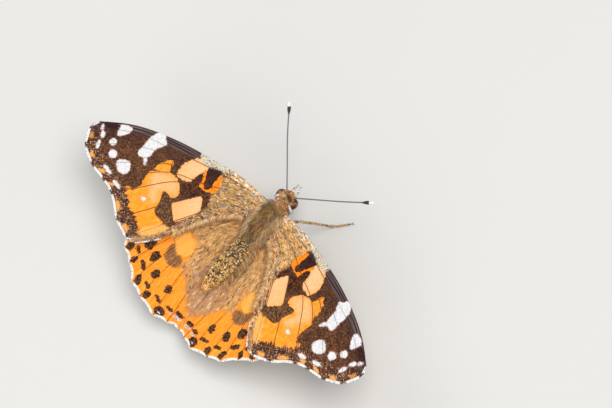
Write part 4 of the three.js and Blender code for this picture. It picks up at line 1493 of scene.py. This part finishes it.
@dataclass
class Body:
    """Head, thorax and abdomen as one skin of oval rings, with a coat on each."""

    rows: int = 260
    around: int = 80
    segments: float = 1.32
    head: Coat = field(default_factory=lambda: Coat(
        7000, (0.35, 0.7), 0.07, 0.45, 0.3, 0.24, 0.75, 0.5))
    collar: Coat = field(default_factory=lambda: Coat(
        4200, (0.7, 1.3), 0.07, 0.3, 0.3, 0.25, 0.7, 0.3))
    thorax: Coat = field(default_factory=lambda: Coat(
        13000, (0.8, 1.7), 0.06, 0.4, 0.34, 0.3, 0.6, 0.3))
    shoulder: Coat = field(default_factory=lambda: Coat(
        6500, (1.4, 2.9), 0.06, 0.2, 0.18, 0.25, 0.6, 0.22))
    belly: Coat = field(default_factory=lambda: Coat(
        4000, (0.7, 1.4), 0.12, 1.2, 0.3, 0.25, 0.6, 0.35))
    abdomen: Coat = field(default_factory=lambda: Coat(
        16000, (0.3, 0.46), 0.1, 0.16, 0.14, 0.19, 0.85, 0.12, 1.25))

    def rings(self) -> Array:
        """The skin: half width cos a, half height sin a about an axis, from nose to tail."""
        table = np.array(BODY_STATIONS)
        line = catmull_rom(table, np.linspace(0, 1, self.rows))
        forward, wide, high, axis = line.T
        behind = np.clip(-6.4 - forward, 0, 10.5)
        phase = (behind / self.segments) % 1
        swell = np.where((behind > 0) & (behind < 10.2), 0.035 * phase**2 - 0.01, 0)
        wide, high = wide * (1 + swell), high * (1 + swell)
        angle = 2 * np.pi * np.arange(self.around) / self.around
        x = wide[:, None] * np.cos(angle)
        z = axis[:, None] + high[:, None] * np.sin(angle)
        return np.stack([x, np.broadcast_to(forward[:, None], x.shape), z], 2)

    def head_mix(self, p: Array) -> HueMix:
        """Tan and orange hair, dark spots on the crown, white behind the eyes and below."""
        x, y, z = p.T
        below = smoothstep(-z, 1.9, 2.7)
        dark = (spot(x, y, (0.1, 3.0), (0.22, 0.2)) + spot(x, y, (0.65, 2.8), (0.26, 0.2))
                + spot(x, y, (0.72, 3.6), (0.25, 0.2)) + spot(x, y, (-0.5, 3.9), (0.25, 0.2)))
        rear = spot(x, y, (1.2, 2.45), (0.45, 0.14)) + spot(x, y, (-1.1, 2.5), (0.2, 0.2))
        rim = (1 - smoothstep(eye_reach(p), 1.05, 1.35)) * (y > 2.6)
        blue = spot(x, y, (-1.1, 3.0), (0.35, 0.22))
        collar = spot(x * 0, y, (0, 1.6), (1, 0.3))
        pale = collar * (1 - smoothstep(x, -0.4, 0.2))
        return [(Hue.RUST, 0.7 * (1 - below)), (Hue.ORANGE, 0.9 * (1 - below)),
                (Hue.TAN, 1.5 + 1.5 * rim), (Hue.STRAW, 1.0), (Hue.UMBER, 0.5),
                (Hue.OLIVE, 0.3), (Hue.BLACK, 0.2 + 12 * dark),
                (Hue.WHITE, 0.1 + 30 * rear + 1.5 * below + 1.2 * pale),
                (Hue.CREAM, 0.5 + 1.2 * rim + below), (Hue.SLATE, 6 * blue + 2.0 * pale),
                (Hue.LILAC, 3 * blue + 1.0 * collar), (Hue.MAUVE, 1.5 * collar)]

    def collar_mix(self, p: Array) -> HueMix:
        """Orange tan, with pale grey tufts low on the left."""
        x, y, _ = p.T
        pale = (1 - smoothstep(y, 1.4, 1.9)) * (1 - smoothstep(x, -0.6, 0.0))
        return [(Hue.ORANGE, 0.6), (Hue.TAN, 1.2), (Hue.RUST, 0.6), (Hue.CREAM, 0.4 + pale),
                (Hue.MAUVE, 0.6), (Hue.UMBER, 0.9), (Hue.OLIVE, 1.0), (Hue.SLATE, 1.3 * pale),
                (Hue.WHITE, 0.3 * pale)]

    def white_tufts(self, hair: bpy.types.Material, rng: np.random.Generator) -> None:
        """Makes a white brush behind the right eye and a smaller one behind the left."""
        lines = [((1.15, 2.6, -0.86), (2.2, 2.0, -1.25), 420),
                 ((-1.2, 2.85, -0.66), (-1.6, 2.4, -1.0), 200)]
        shapes = []
        for start, end, count in lines:
            run = np.array(end) - np.array(start)
            share = rng.random((count, 1))
            points = np.array(start) + run * share + rng.normal(0, 0.06, (count, 3))
            lay = np.broadcast_to(unit(run), points.shape)
            roots = Roots(points, np.tile([[0.0, 0.0, 1.0]], (count, 1)), lay,
                          np.hstack([share, share]))
            mix = [(Hue.WHITE, 4.0), (Hue.CREAM, 0.6), (Hue.SLATE, 0.6)]
            coat = Coat(count, (0.25, 0.45), 0.07, 0.1, 0.15, stray=0.2)
            shapes.append(coat.grow(roots, lay, mix, rng))
        make_piece("eye_white_tufts", joined(shapes), hair)

    def thorax_mix(self, p: Array) -> HueMix:
        """Olive brown down the middle, paler at the sides, rusty behind."""
        x, y, z = p.T
        middle = (1 - smoothstep(np.abs(x), 0.8, 1.7)) * (z > -1)
        rust = spot(x, y, (-0.1, -2.6), (0.6, 1.1)) * (z > -1)
        dark = (spot(x, y, (-0.9, 0.4), (0.3, 0.3)) + spot(x, y, (0.6, 0.3), (0.3, 0.3))
                + spot(x * 0, y, (0, -3.6), (1, 0.3)) * middle * 0.5)
        blue = spot(x, y, (1.5, -0.5), (0.35, 0.5)) + spot(x, y, (-2.2, -0.7), (0.3, 0.5))
        pale = spot(x * 0, y, (0, 1.5), (1, 0.35)) * (1 - smoothstep(x, -0.4, 0.2))
        below = smoothstep(-z, 1.4, 2.4)
        left = x < 0
        return [(Hue.OLIVE, 1.0 + 2.8 * middle), (Hue.UMBER, 0.3 + 1.2 * middle + 3 * dark),
                (Hue.TAN, 1.0), (Hue.CREAM, (1.0 + 0.8 * left) * (1 - middle) + below),
                (Hue.STRAW, 0.7 + 0.5 * (1 - middle)), (Hue.MAUVE, 0.6 * (1 - middle) + rust),
                (Hue.RUST, 1.2 * rust), (Hue.SLATE, 0.1 + 0.7 * (1 - middle) + 4 * blue + 3 * pale),
                (Hue.WHITE, pale), (Hue.BLACK, 0.1 + 0.2 * middle + 3 * dark)]

    def shoulder_mix(self, p: Array) -> HueMix:
        """Orange and pink tufts before the left wing, tan on the right, pale hair behind."""
        x, y, _ = p.T
        front = smoothstep(y, -1.0, 0.0)
        left = front * (x < 0)
        return [(Hue.TAN, 1.0 + 0.4 * left), (Hue.STRAW, 0.9 * (1 - left)),
                (Hue.MAUVE, 0.7 + 0.8 * left), (Hue.CREAM, 1.2), (Hue.OLIVE, 1.0 * (1 - left)),
                (Hue.ORANGE, 1.4 * left), (Hue.RUST, 0.5 * left), (Hue.UMBER, 0.15),
                (Hue.SLATE, 0.45 * (1 - left))]

    def belly_mix(self, _: Array) -> HueMix:
        """Pale tan and cream hair."""
        return [(Hue.TAN, 1.2), (Hue.CREAM, 1.0), (Hue.MAUVE, 0.8), (Hue.STRAW, 0.6),
                (Hue.OLIVE, 0.4)]

    def abdomen_mix(self, p: Array) -> HueMix:
        """Dark speckles in front, yellow cross bands, and an orange tail."""
        x, y, z = p.T
        front = smoothstep(y, -12.5, -8.5)
        tail = smoothstep(-y, 14.6, 16.6)
        bands = sum(np.exp(-(((y - at) / 0.2) ** 2)) for at in (-10.9, -12.5, -14.0, -15.3))
        bands = np.clip(bands, 0, 1)
        side = np.clip(smoothstep(np.abs(x), 1.0, 1.5) + smoothstep(-z, 0.5, 1.5), 0, 1)
        speck = (1 - 0.85 * bands) * (1 - tail) * (1 - 0.75 * side)
        return [(Hue.BLACK, (2.2 + 1.2 * front) * speck), (Hue.OLIVE, 1.6 + 1.2 * front),
                (Hue.SLATE, 0.4 * front * speck), (Hue.UMBER, 1.2 * speck),
                (Hue.STRAW, 0.9 + 1.8 * bands), (Hue.TAN, 0.9 + 0.6 * side),
                (Hue.ORANGE, 0.1 + 1.6 * tail), (Hue.CREAM, 0.3 + 0.2 * side)]

    def build(self, skin: bpy.types.Material, hair: bpy.types.Material,
              rng: np.random.Generator) -> None:
        """Makes the skin and its coats."""
        rings = self.rings()
        make_piece("body_skin", capped_tube(rings), skin,
                   ["head", "thorax", "abdomen"])
        ground = Ground.around(rings)
        y = rings[..., 1]
        free = eye_reach(rings.reshape(-1, 3)).reshape(y.shape) > 1.0
        tall = 1 + 0.8 * smoothstep(rings[..., 2], -1.2, 0.5)
        under = smoothstep(rings.mean(1)[:, None, 2] - rings[..., 2], 0.2, 0.9)
        regions = [
            ("belly_hair", self.belly, self.belly_mix, Slot.ABDOMEN,
             smoothstep(y, -15.0, -13.5) * (1 - smoothstep(y, -5.4, -4.6)) * under),
            ("head_hair", self.head, self.head_mix, Slot.HEAD,
             smoothstep(y, 1.5, 1.9) * free),
            ("collar_hair", self.collar, self.collar_mix, Slot.HEAD,
             smoothstep(y, 1.1, 1.5) * (1 - smoothstep(y, 2.4, 2.6))
             * smoothstep(rings[..., 2], -2.2, -1.6)),
            ("thorax_hair", self.thorax, self.thorax_mix, Slot.THORAX,
             smoothstep(y, -6.2, -5.4) * (1 - smoothstep(y, 1.5, 2.0)) * tall),
            ("shoulder_hair", self.shoulder, self.shoulder_mix, Slot.THORAX,
             smoothstep(y, -5.9, -5.2) * (1 - smoothstep(y, 0.6, 1.3))
             * smoothstep(np.abs(rings[..., 0]), 1.2, 1.8) * smoothstep(rings[..., 2], -0.9, -0.2)),
            ("abdomen_scales", self.abdomen, self.abdomen_mix, Slot.ABDOMEN,
             (1 - smoothstep(y, -6.0, -5.4)) * tall),
        ]
        for name, coat, mix, slot, density in regions:
            roots = ground.roots(density, coat.count, rng)
            lay = self.lay(roots, name)
            make_piece(name, coat.grow(roots, lay, mix(roots.points), rng), hair)
        self.white_tufts(hair, rng)

    def lay(self, roots: Roots, name: str) -> Array:
        """Backwards, save that the face's hair points forward and the sides' outward.

        Args:
            roots: Where the coat grows.
            name: The coat's piece.

        Returns:
            The direction that each hair lies in.
        """
        x, y = roots.points[:, :1], roots.points[:, 1:2]
        if name == "head_hair":
            return roots.onward * (1 - 2 * smoothstep(y, 3.5, 3.9))
        if name in ("abdomen_scales", "belly_hair"):
            return roots.onward
        if name == "collar_hair":
            share = 2.2 * smoothstep(np.abs(x), 0.3, 1)
        elif name == "shoulder_hair":
            share = 0.95 + 0.5 * smoothstep(y, -2, 0)
        else:
            share = 0.8 * smoothstep(np.abs(x), 1.3, 2.3)
        return unit(roots.onward + np.sign(x) * share * np.array([[1.0, 0.0, 0.0]]))


@dataclass
class Eye:
    """A round compound eye of small facets, dark red-brown with tan mottling."""

    side: Side
    rows: int = 48
    around: int = 64

    def build(self, material: bpy.types.Material) -> None:
        """Makes the eye as rings about its outward axis: radius sin a, place cos a."""
        angle = np.linspace(0.02, np.pi - 0.02, self.rows)
        turn = 2 * np.pi * np.arange(self.around) / self.around
        x = np.broadcast_to(np.cos(angle)[:, None], (self.rows, self.around))
        y = np.sin(angle)[:, None] * np.cos(turn)
        z = np.sin(angle)[:, None] * np.sin(turn)
        rings = np.stack([x, y, z], 2) * np.array(EYE_RADII) + np.array(EYE_CENTRE)
        rings = rings * np.array([self.side.value, 1, 1])
        name = f"eye_{self.side.word}"
        values = {"dark": spot(x, z, (0.5, 0.45), (0.5, 0.5))}
        make_piece(f"{name}_facets", capped_tube(rings, values), material, [name])


@dataclass(frozen=True)
class EyeFinish:
    """Facets under a clear coat, tan at the rim and mottled dark brown within."""

    name: str = "eye facets"

    def material(self) -> bpy.types.Material:
        """Builds the finish."""
        s = Shader(self.name, roughness=0.35, coat=0.2, specular=0.3)
        where = s.place()
        mottle = s.noise(where, 2.2, 3.0)
        rim = s.blend(mottle.steps(0.4, 0.6), (98, 64, 38), (170, 124, 80))
        within = s.blend(mottle.steps(0.48, 0.62), (40, 16, 10), (150, 96, 54))
        dark = s.value("dark") + (s.noise(where, 1.4, 2.0) - 0.5) * 0.8
        colour = s.blend(dark.steps(0.2, 0.55), rim, within)
        facets = s.cracks(where, 13.0)
        return s.finish(colour, 1 - facets, 0.03, 0.3 + 0.2 * facets)


@dataclass
class Antenna:
    """A ringed shaft that ends in a club with a pale tip."""

    side: Side
    path: list[Point3]
    radius: float = 0.11
    club: float = 0.3
    joints: int = 46
    stations: int = 460

    def build(self, material: bpy.types.Material) -> None:
        """Makes the antenna: its radius swells at each joint and over the last eighth."""
        t = np.linspace(0, 1, self.stations)
        joint = 0.5 + 0.5 * np.cos(2 * np.pi * self.joints * t)
        body = self.radius * (1.25 - 0.25 * smoothstep(t, 0, 0.1)) * (1 + 0.1 * joint)
        club = (self.club - self.radius) * smoothstep(t, 0.855, 0.925)
        end = np.sqrt(np.clip(1 - ((t - 0.955) / 0.045).clip(0) ** 2, 0.0004, 1))
        rings = sweep_rings(catmull_rom(self.path, t), (body + club) * end, 14, (0, 0, 1))
        name = f"antenna_{self.side.word}"
        values = {"along": along_rings(rings)}
        make_piece(f"{name}_shaft", capped_tube(rings, values), material, [name])


@dataclass(frozen=True)
class AntennaFinish:
    """Dark violet-brown scales, a grey ring at each joint, a near-black club, a white tip."""

    name: str = "antenna scales"
    joints: int = 46

    def material(self) -> bpy.types.Material:
        """Builds the finish."""
        s = Shader(self.name, roughness=0.5, specular=0.4)
        where, along = s.place(), s.value("along")
        wave = s.math("SINE", along * (2 * math.pi * self.joints))
        dark = s.blend(s.noise(where, 4.0, 3.0), (48, 34, 46), (98, 82, 92))
        colour = s.blend(wave.steps(0.0, 0.8) * 0.75, dark, (168, 160, 172))
        club = s.blend(s.noise(where, 3.0, 2.0), (26, 18, 26), (62, 40, 40))
        colour = s.blend(along.steps(0.86, 0.89), colour, club)
        colour = s.blend(along.steps(0.943, 0.953), colour, (236, 230, 222))
        return s.finish(colour, s.noise(where, 14.0, 2.0), 0.03)


@dataclass
class Palp:
    """A feeler beside the tongue, thick with scales that point forward."""

    side: Side
    radius: float = 0.25
    coat: Coat = field(default_factory=lambda: Coat(
        2000, (0.2, 0.4), 0.07, 0.16, 0.14, 0.2, 0.6, 0.12))

    def build(self, skin: bpy.types.Material, hair: bpy.types.Material,
              rng: np.random.Generator) -> None:
        """Makes the tapered core and its scales."""
        sign = self.side.value
        bends = [(0.42 * sign, 3.75, -2.3), (0.46 * sign, 4.9, -2.45), (0.34 * sign, 6.15, -2.4)]
        t = np.linspace(0, 1, 50)
        radii = self.radius * (1 - 0.45 * t) * np.sqrt(np.clip(1 - (2 * t - 1) ** 12, 0.002, 1))
        rings = sweep_rings(catmull_rom(bends, t), radii, 20, (1, 0, 0))
        name = f"palp_{self.side.word}"
        make_piece(f"{name}_core", capped_tube(rings), skin, [name])
        ground = Ground.around(rings)
        roots = ground.roots(np.ones(rings.shape[:2]), self.coat.count, rng)
        x, y, _ = roots.points.T
        outer = smoothstep(x * sign, 0.38, 0.58)
        root = 1 - smoothstep(y, 4.4, 5.0)
        mix = [(Hue.WHITE, 2.0), (Hue.SLATE, 1.0), (Hue.LILAC, 0.5), (Hue.CREAM, 0.3),
               (Hue.UMBER, 0.4 + 2.0 * outer + 0.6 * root), (Hue.BLACK, 0.5 + 2.0 * outer),
               (Hue.TAN, 0.1 + root)]
        make_piece(f"{name}_scales", self.coat.grow(roots, roots.onward, mix, rng), hair)


@dataclass
class Proboscis:
    """The tongue, coiled under the head."""

    radius: float = 0.17
    turns: float = 1.6
    coil: float = 0.95
    shrink: float = 0.3224
    centre: Point = (3.75, -4.35)
    lead_start: Point3 = (0, 3.9, -2.95)
    lead_stations: int = 40
    stations: int = 420

    def build(self, material: bpy.types.Material) -> None:
        """Makes the coil: a spiral in the middle plane that shrinks by so much a turn."""
        angle = np.linspace(0, 2 * np.pi * self.turns, self.stations - self.lead_stations)
        reach = self.coil - self.shrink * angle / (2 * np.pi)
        spiral = np.stack([0 * angle, self.centre[0] - 0.9 * reach * np.sin(angle),
                           self.centre[1] + reach * np.cos(angle)], 1)
        lead = np.linspace(self.lead_start, spiral[0], self.lead_stations, endpoint=False)
        path = np.vstack([lead, spiral])
        t = np.linspace(0, 1, len(path))
        ringing = 1 + 0.06 * np.cos(2 * np.pi * 90 * t)
        radii = self.radius * (1 - 0.45 * t) * ringing
        rings = sweep_rings(path, radii, 16, (1, 0, 0), 0.85)
        make_piece("proboscis_coil", capped_tube(rings, {"along": along_rings(rings)}), material,
                   ["proboscis"])


@dataclass
class Limb:
    """A straight or bent length of leg: its path, its radii and its scales."""

    bends: Sequence[Point3]
    radii: Sequence[float]
    stations: int = 44
    sides: int = 16

    def rings(self) -> Array:
        """Rings along the path, with radii that run smoothly through those given."""
        t = np.linspace(0, 1, self.stations)
        knots = [(k, r) for k, r in enumerate(self.radii)]
        radii = catmull_rom(knots, t)[:, 1]
        ends = np.sqrt(np.clip(1 - (2 * t - 1) ** 20, 0.003, 1))
        return sweep_rings(catmull_rom(self.bends, t), radii * ends, self.sides, (0.2, 0.3, 1.0))


@dataclass
class Leg:
    """A walking leg on the floor: femur, tibia with spurs, five-jointed foot with claws."""

    name: str
    side: Side
    hip: Point3
    knee: Point3
    ankle: Point3
    toe: Point3
    coat: Coat = field(default_factory=lambda: Coat(
        2000, (0.22, 0.42), 0.08, 0.22, 0.16, 0.18, 0.5, 0.25))
    foot_height: float = 0.2
    heel_share: float = 0.32
    scaled_share: float = 0.8

    def limbs(self) -> list[Limb]:
        """The leg's lengths, given from the floor and turned onto the insect's axes."""
        hip, knee, ankle, toe = (np.array(p, float) for p in
                                 (self.hip, self.knee, self.ankle, self.toe))
        heel = ankle + self.heel_share * (toe - ankle)
        heel[2] = self.foot_height + 0.02
        toe[2] = self.foot_height
        foot = [ankle, heel, heel + 0.5 * (toe - heel), toe]
        shin = [knee, 0.5 * (knee + ankle) + np.array([0, 0, 0.12]), ankle]
        along = unit(toe - heel)
        beside = np.array([-along[1], along[0], 0])
        spurs = []
        for turn in (-1, 1):
            tip = ankle + (ankle - knee) * 0.09 + beside * 0.35 * turn
            spurs.append(([ankle - (ankle - knee) * 0.02, tip], (0.07, 0.05, 0.015), 10))
        claws = []
        for turn in (-1, 1):
            root = toe + along * 0.1
            bent = root + along * 0.22 + beside * 0.13 * turn + np.array([0, 0, 0.04])
            tip = root + along * 0.36 + beside * 0.16 * turn - np.array([0, 0, 0.1])
            claws.append(([root, bent, tip], (0.06, 0.05, 0.012), 14))
        joints = [0.17, 0.15, 0.175, 0.14, 0.16, 0.135, 0.15, 0.13, 0.145, 0.12, 0.13]
        lengths = [([hip, knee], (0.3, 0.4, 0.38, 0.3, 0.24), 44),
                   (shin, (0.2, 0.23, 0.2, 0.18, 0.17), 50), (foot, joints, 90)]
        return [Limb([tuple(p) for p in BODY_FRAME.from_floor(np.array(path))], radii, stations)
                for path, radii, stations in lengths + spurs + claws]

    def build(self, skin: bpy.types.Material, hair: bpy.types.Material,
              rng: np.random.Generator) -> None:
        """Makes the leg and its scales."""
        mirror = np.array([self.side.value, 1, 1])
        all_rings = [limb.rings() * mirror for limb in self.limbs()]
        replaced = [f"{self.name}leg_{part}_{self.side.word}"
                    for part in ("femur", "tibia", "tarsus")]
        word = f"{self.name}leg_{self.side.word}"
        make_piece(word, joined([capped_tube(r) for r in all_rings]), skin, replaced)
        coats = []
        for rings, share in zip(all_rings[:3], (0.5, 0.3, 0.2)):
            ground = Ground.around(rings)
            height = (rings - rings.mean(1, keepdims=True))[..., 2]
            upper = smoothstep(height / np.ptp(height, axis=1)[:, None], -0.3, -0.1)
            roots = ground.roots(upper * (along_rings(rings) < self.scaled_share),
                                 int(self.coat.count * share), rng)
            mix = [(Hue.TAN, 1.2), (Hue.CREAM, 1.0), (Hue.MAUVE, 0.6), (Hue.UMBER, 0.5),
                   (Hue.STRAW, 0.4)]
            coats.append(self.coat.grow(roots, roots.onward, mix, rng))
        make_piece(f"{word}_scales", joined(coats), hair)


@dataclass
class Foreleg:
    """A short front leg, folded to the chest and brushy with hair."""

    side: Side
    coat: Coat = field(default_factory=lambda: Coat(
        1600, (0.35, 0.75), 0.06, 0.3, 0.2, 0.15, 0.4, 0.3))

    def build(self, skin: bpy.types.Material, hair: bpy.types.Material,
              rng: np.random.Generator) -> None:
        """Makes the limb and its brush."""
        bends = [(0.75, 1.1, -3.2), (0.95, 2.1, -4.1), (0.8, 0.2, -4.3), (0.7, -1.2, -4.1)]
        limb = Limb(bends, (0.2, 0.24, 0.2, 0.18, 0.12), 70, 16)
        rings = limb.rings() * np.array([self.side.value, 1, 1])
        name = f"foreleg_{self.side.word}"
        make_piece(f"{name}_limb", capped_tube(rings), skin, [name])
        ground = Ground.around(rings)
        roots = ground.roots(np.ones(rings.shape[:2]), self.coat.count, rng)
        mix = [(Hue.CREAM, 1.2), (Hue.TAN, 1.0), (Hue.SLATE, 0.5), (Hue.MAUVE, 0.4),
               (Hue.WHITE, 0.5)]
        make_piece(f"{name}_brush", self.coat.grow(roots, roots.onward, mix, rng), hair)


# Stage


@dataclass(frozen=True)
class Studio:
    """The floor, the lights and the camera."""

    distance: float = 0.4
    view_width: float = 0.102
    lean: float = math.radians(18.6)
    axis_turn: float = math.radians(49.0)
    middle_pixel: Point = (272.2, 211.3)

    def camera(self) -> None:
        """Looks at the hinge line from the insect's right, turned as in the photograph."""
        turn = BODY_FRAME.turn
        away = turn @ Vector((math.sin(self.lean), 0, math.cos(self.lean)))
        across = turn @ Vector((math.cos(self.lean), 0, -math.sin(self.lean)))
        ahead = away.cross(across)
        c, s = math.cos(self.axis_turn), math.sin(self.axis_turn)
        right, up = across * s + ahead * c, ahead * s - across * c
        matrix = Matrix((right, up, away)).transposed().to_4x4()
        matrix.translation = BODY_FRAME.origin * 0.001 + away * self.distance
        lens = bpy.data.cameras.new("camera")
        lens.sensor_width = 36
        lens.lens = lens.sensor_width * self.distance / self.view_width
        width, height = IMAGE_SIZE
        lens.shift_x = (width / 2 - self.middle_pixel[0]) / width
        lens.shift_y = (self.middle_pixel[1] - height / 2) / width
        lens.clip_start = 0.01
        lens.clip_end = 50
        camera = bpy.data.objects.new("camera", lens)
        camera.matrix_world = matrix
        bpy.context.scene.collection.objects.link(camera)
        bpy.context.scene.camera = camera

    def light(self, name: str, place: Point3, size: float, power: float, colour: Point3) -> None:
        """A square soft light that faces the insect.

        Args:
            name: The light's name.
            place: Its place in metres.
            size: Its side in metres.
            power: Its power in watts.
            colour: Its colour.
        """
        lamp = bpy.data.lights.new(name, "AREA")
        lamp.size, lamp.energy, lamp.color = size, power, colour
        holder = bpy.data.objects.new(name, lamp)
        holder.location = place
        holder.rotation_euler = (-Vector(place)).to_track_quat("-Z", "Y").to_euler()
        bpy.context.scene.collection.objects.link(holder)

    def floor(self) -> None:
        """A pale floor with a faint mottle."""
        s = Shader("floor", roughness=0.85, specular=0.2)
        cloud = s.noise(s.place((0.001, 0.001, 0.001)), 8.0, 3.0)
        colour = s.blend(cloud, (204, 203, 200), (212, 211, 208))
        s.finish(colour)
        mesh = bpy.data.meshes.new("floor")
        reach = 4.0
        corners = [(-reach, -reach, 0), (reach, -reach, 0), (reach, reach, 0), (-reach, reach, 0)]
        mesh.from_pydata(corners, [], [(0, 1, 2, 3)])
        mesh.materials.append(s.material)
        floor = bpy.data.objects.new("floor", mesh)
        bpy.context.scene.collection.objects.link(floor)

    def build(self) -> None:
        """Sets everything up."""
        self.camera()
        self.floor()
        self.light("key", (0.15, 0.08, 0.55), 0.35, 2.7, (1.0, 0.98, 0.95))
        self.light("fill", (-0.45, -0.05, 0.35), 0.4, 1.05, (0.93, 0.96, 1.0))
        self.light("back", (0.1, -0.5, 0.3), 0.4, 1.1, (1.0, 1.0, 1.0))
        world = bpy.data.worlds.new("studio")
        world.use_nodes = True
        background = world.node_tree.nodes["Background"]
        background.inputs["Color"].default_value = tone(236, 238, 242)
        background.inputs["Strength"].default_value = 0.42
        bpy.context.scene.world = world
        bpy.context.scene.view_settings.view_transform = "Standard"


ANTENNA_PATHS = {
    Side.LEFT: [(-0.5, 3.8, -1.3), (-3.1, 7.1, -0.3), (-6.6, 11.4, 0.8), (-9.85, 15.8, 1.7)],
    Side.RIGHT: [(0.58, 3.8, -1.3), (4.2, 6.1, -0.3), (8.6, 8.95, 0.8), (13.0, 12.05, 1.7)],
}
HIND_LEG = ((1.5, -3.3, 6.2), (5.2, -6.4, 6.5), (6.9, -10.0, 1.0), (8.2, -14.0, 0.22))
LEFT_MID_LEG = ((1.5, -0.9, 6.5), (5.4, 0.1, 7.5), (9.4, 0.9, 1.0), (12.4, 0.9, 0.22))
RIGHT_MID_LEG = ((1.5, -0.9, 6.5), (3.9, 1.9, 7.4), (6.4, 5.6, 1.0), (8.7, 8.4, 0.22))
LEG_PLACES = {
    Side.LEFT: {"mid": LEFT_MID_LEG, "hind": HIND_LEG},
    Side.RIGHT: {"mid": RIGHT_MID_LEG, "hind": HIND_LEG},
}


def main() -> None:
    """Builds the stage and every sub-assembly in order."""
    logging.basicConfig(level=logging.INFO, format="%(name)s: %(message)s")
    rng = np.random.default_rng(SEED)
    Studio().build()
    hair = CoatFinish("hair and loose scales").material()
    skin = SkinFinish("body skin", (46, 36, 28), (96, 78, 56)).material()
    cuticle = SkinFinish("leg cuticle", (96, 76, 66), (186, 158, 122), 2.0, 0.45).material()
    tongue = SkinFinish("tongue", (70, 46, 34), (128, 88, 56), 6.0, 0.35).material()
    Body().build(skin, hair, rng)
    facets, shaft = EyeFinish().material(), AntennaFinish().material()
    forewing, hindwing = ForewingFinish().material(), HindwingFinish().material()
    Proboscis().build(tongue)
    for side in Side:
        Eye(side).build(facets)
        Antenna(side, ANTENNA_PATHS[side]).build(shaft)
        Palp(side).build(skin, hair, rng)
        Foreleg(side).build(cuticle, hair, rng)
        for name, places in LEG_PLACES[side].items():
            Leg(name, side, *places).build(cuticle, hair, rng)
        Hindwing(side).build(hindwing, hair, rng)
        wing = Forewing(side)
        wing.build(forewing, hair, rng)
        wing.trail(hair, rng)


if __name__ == "__main__":
    main()
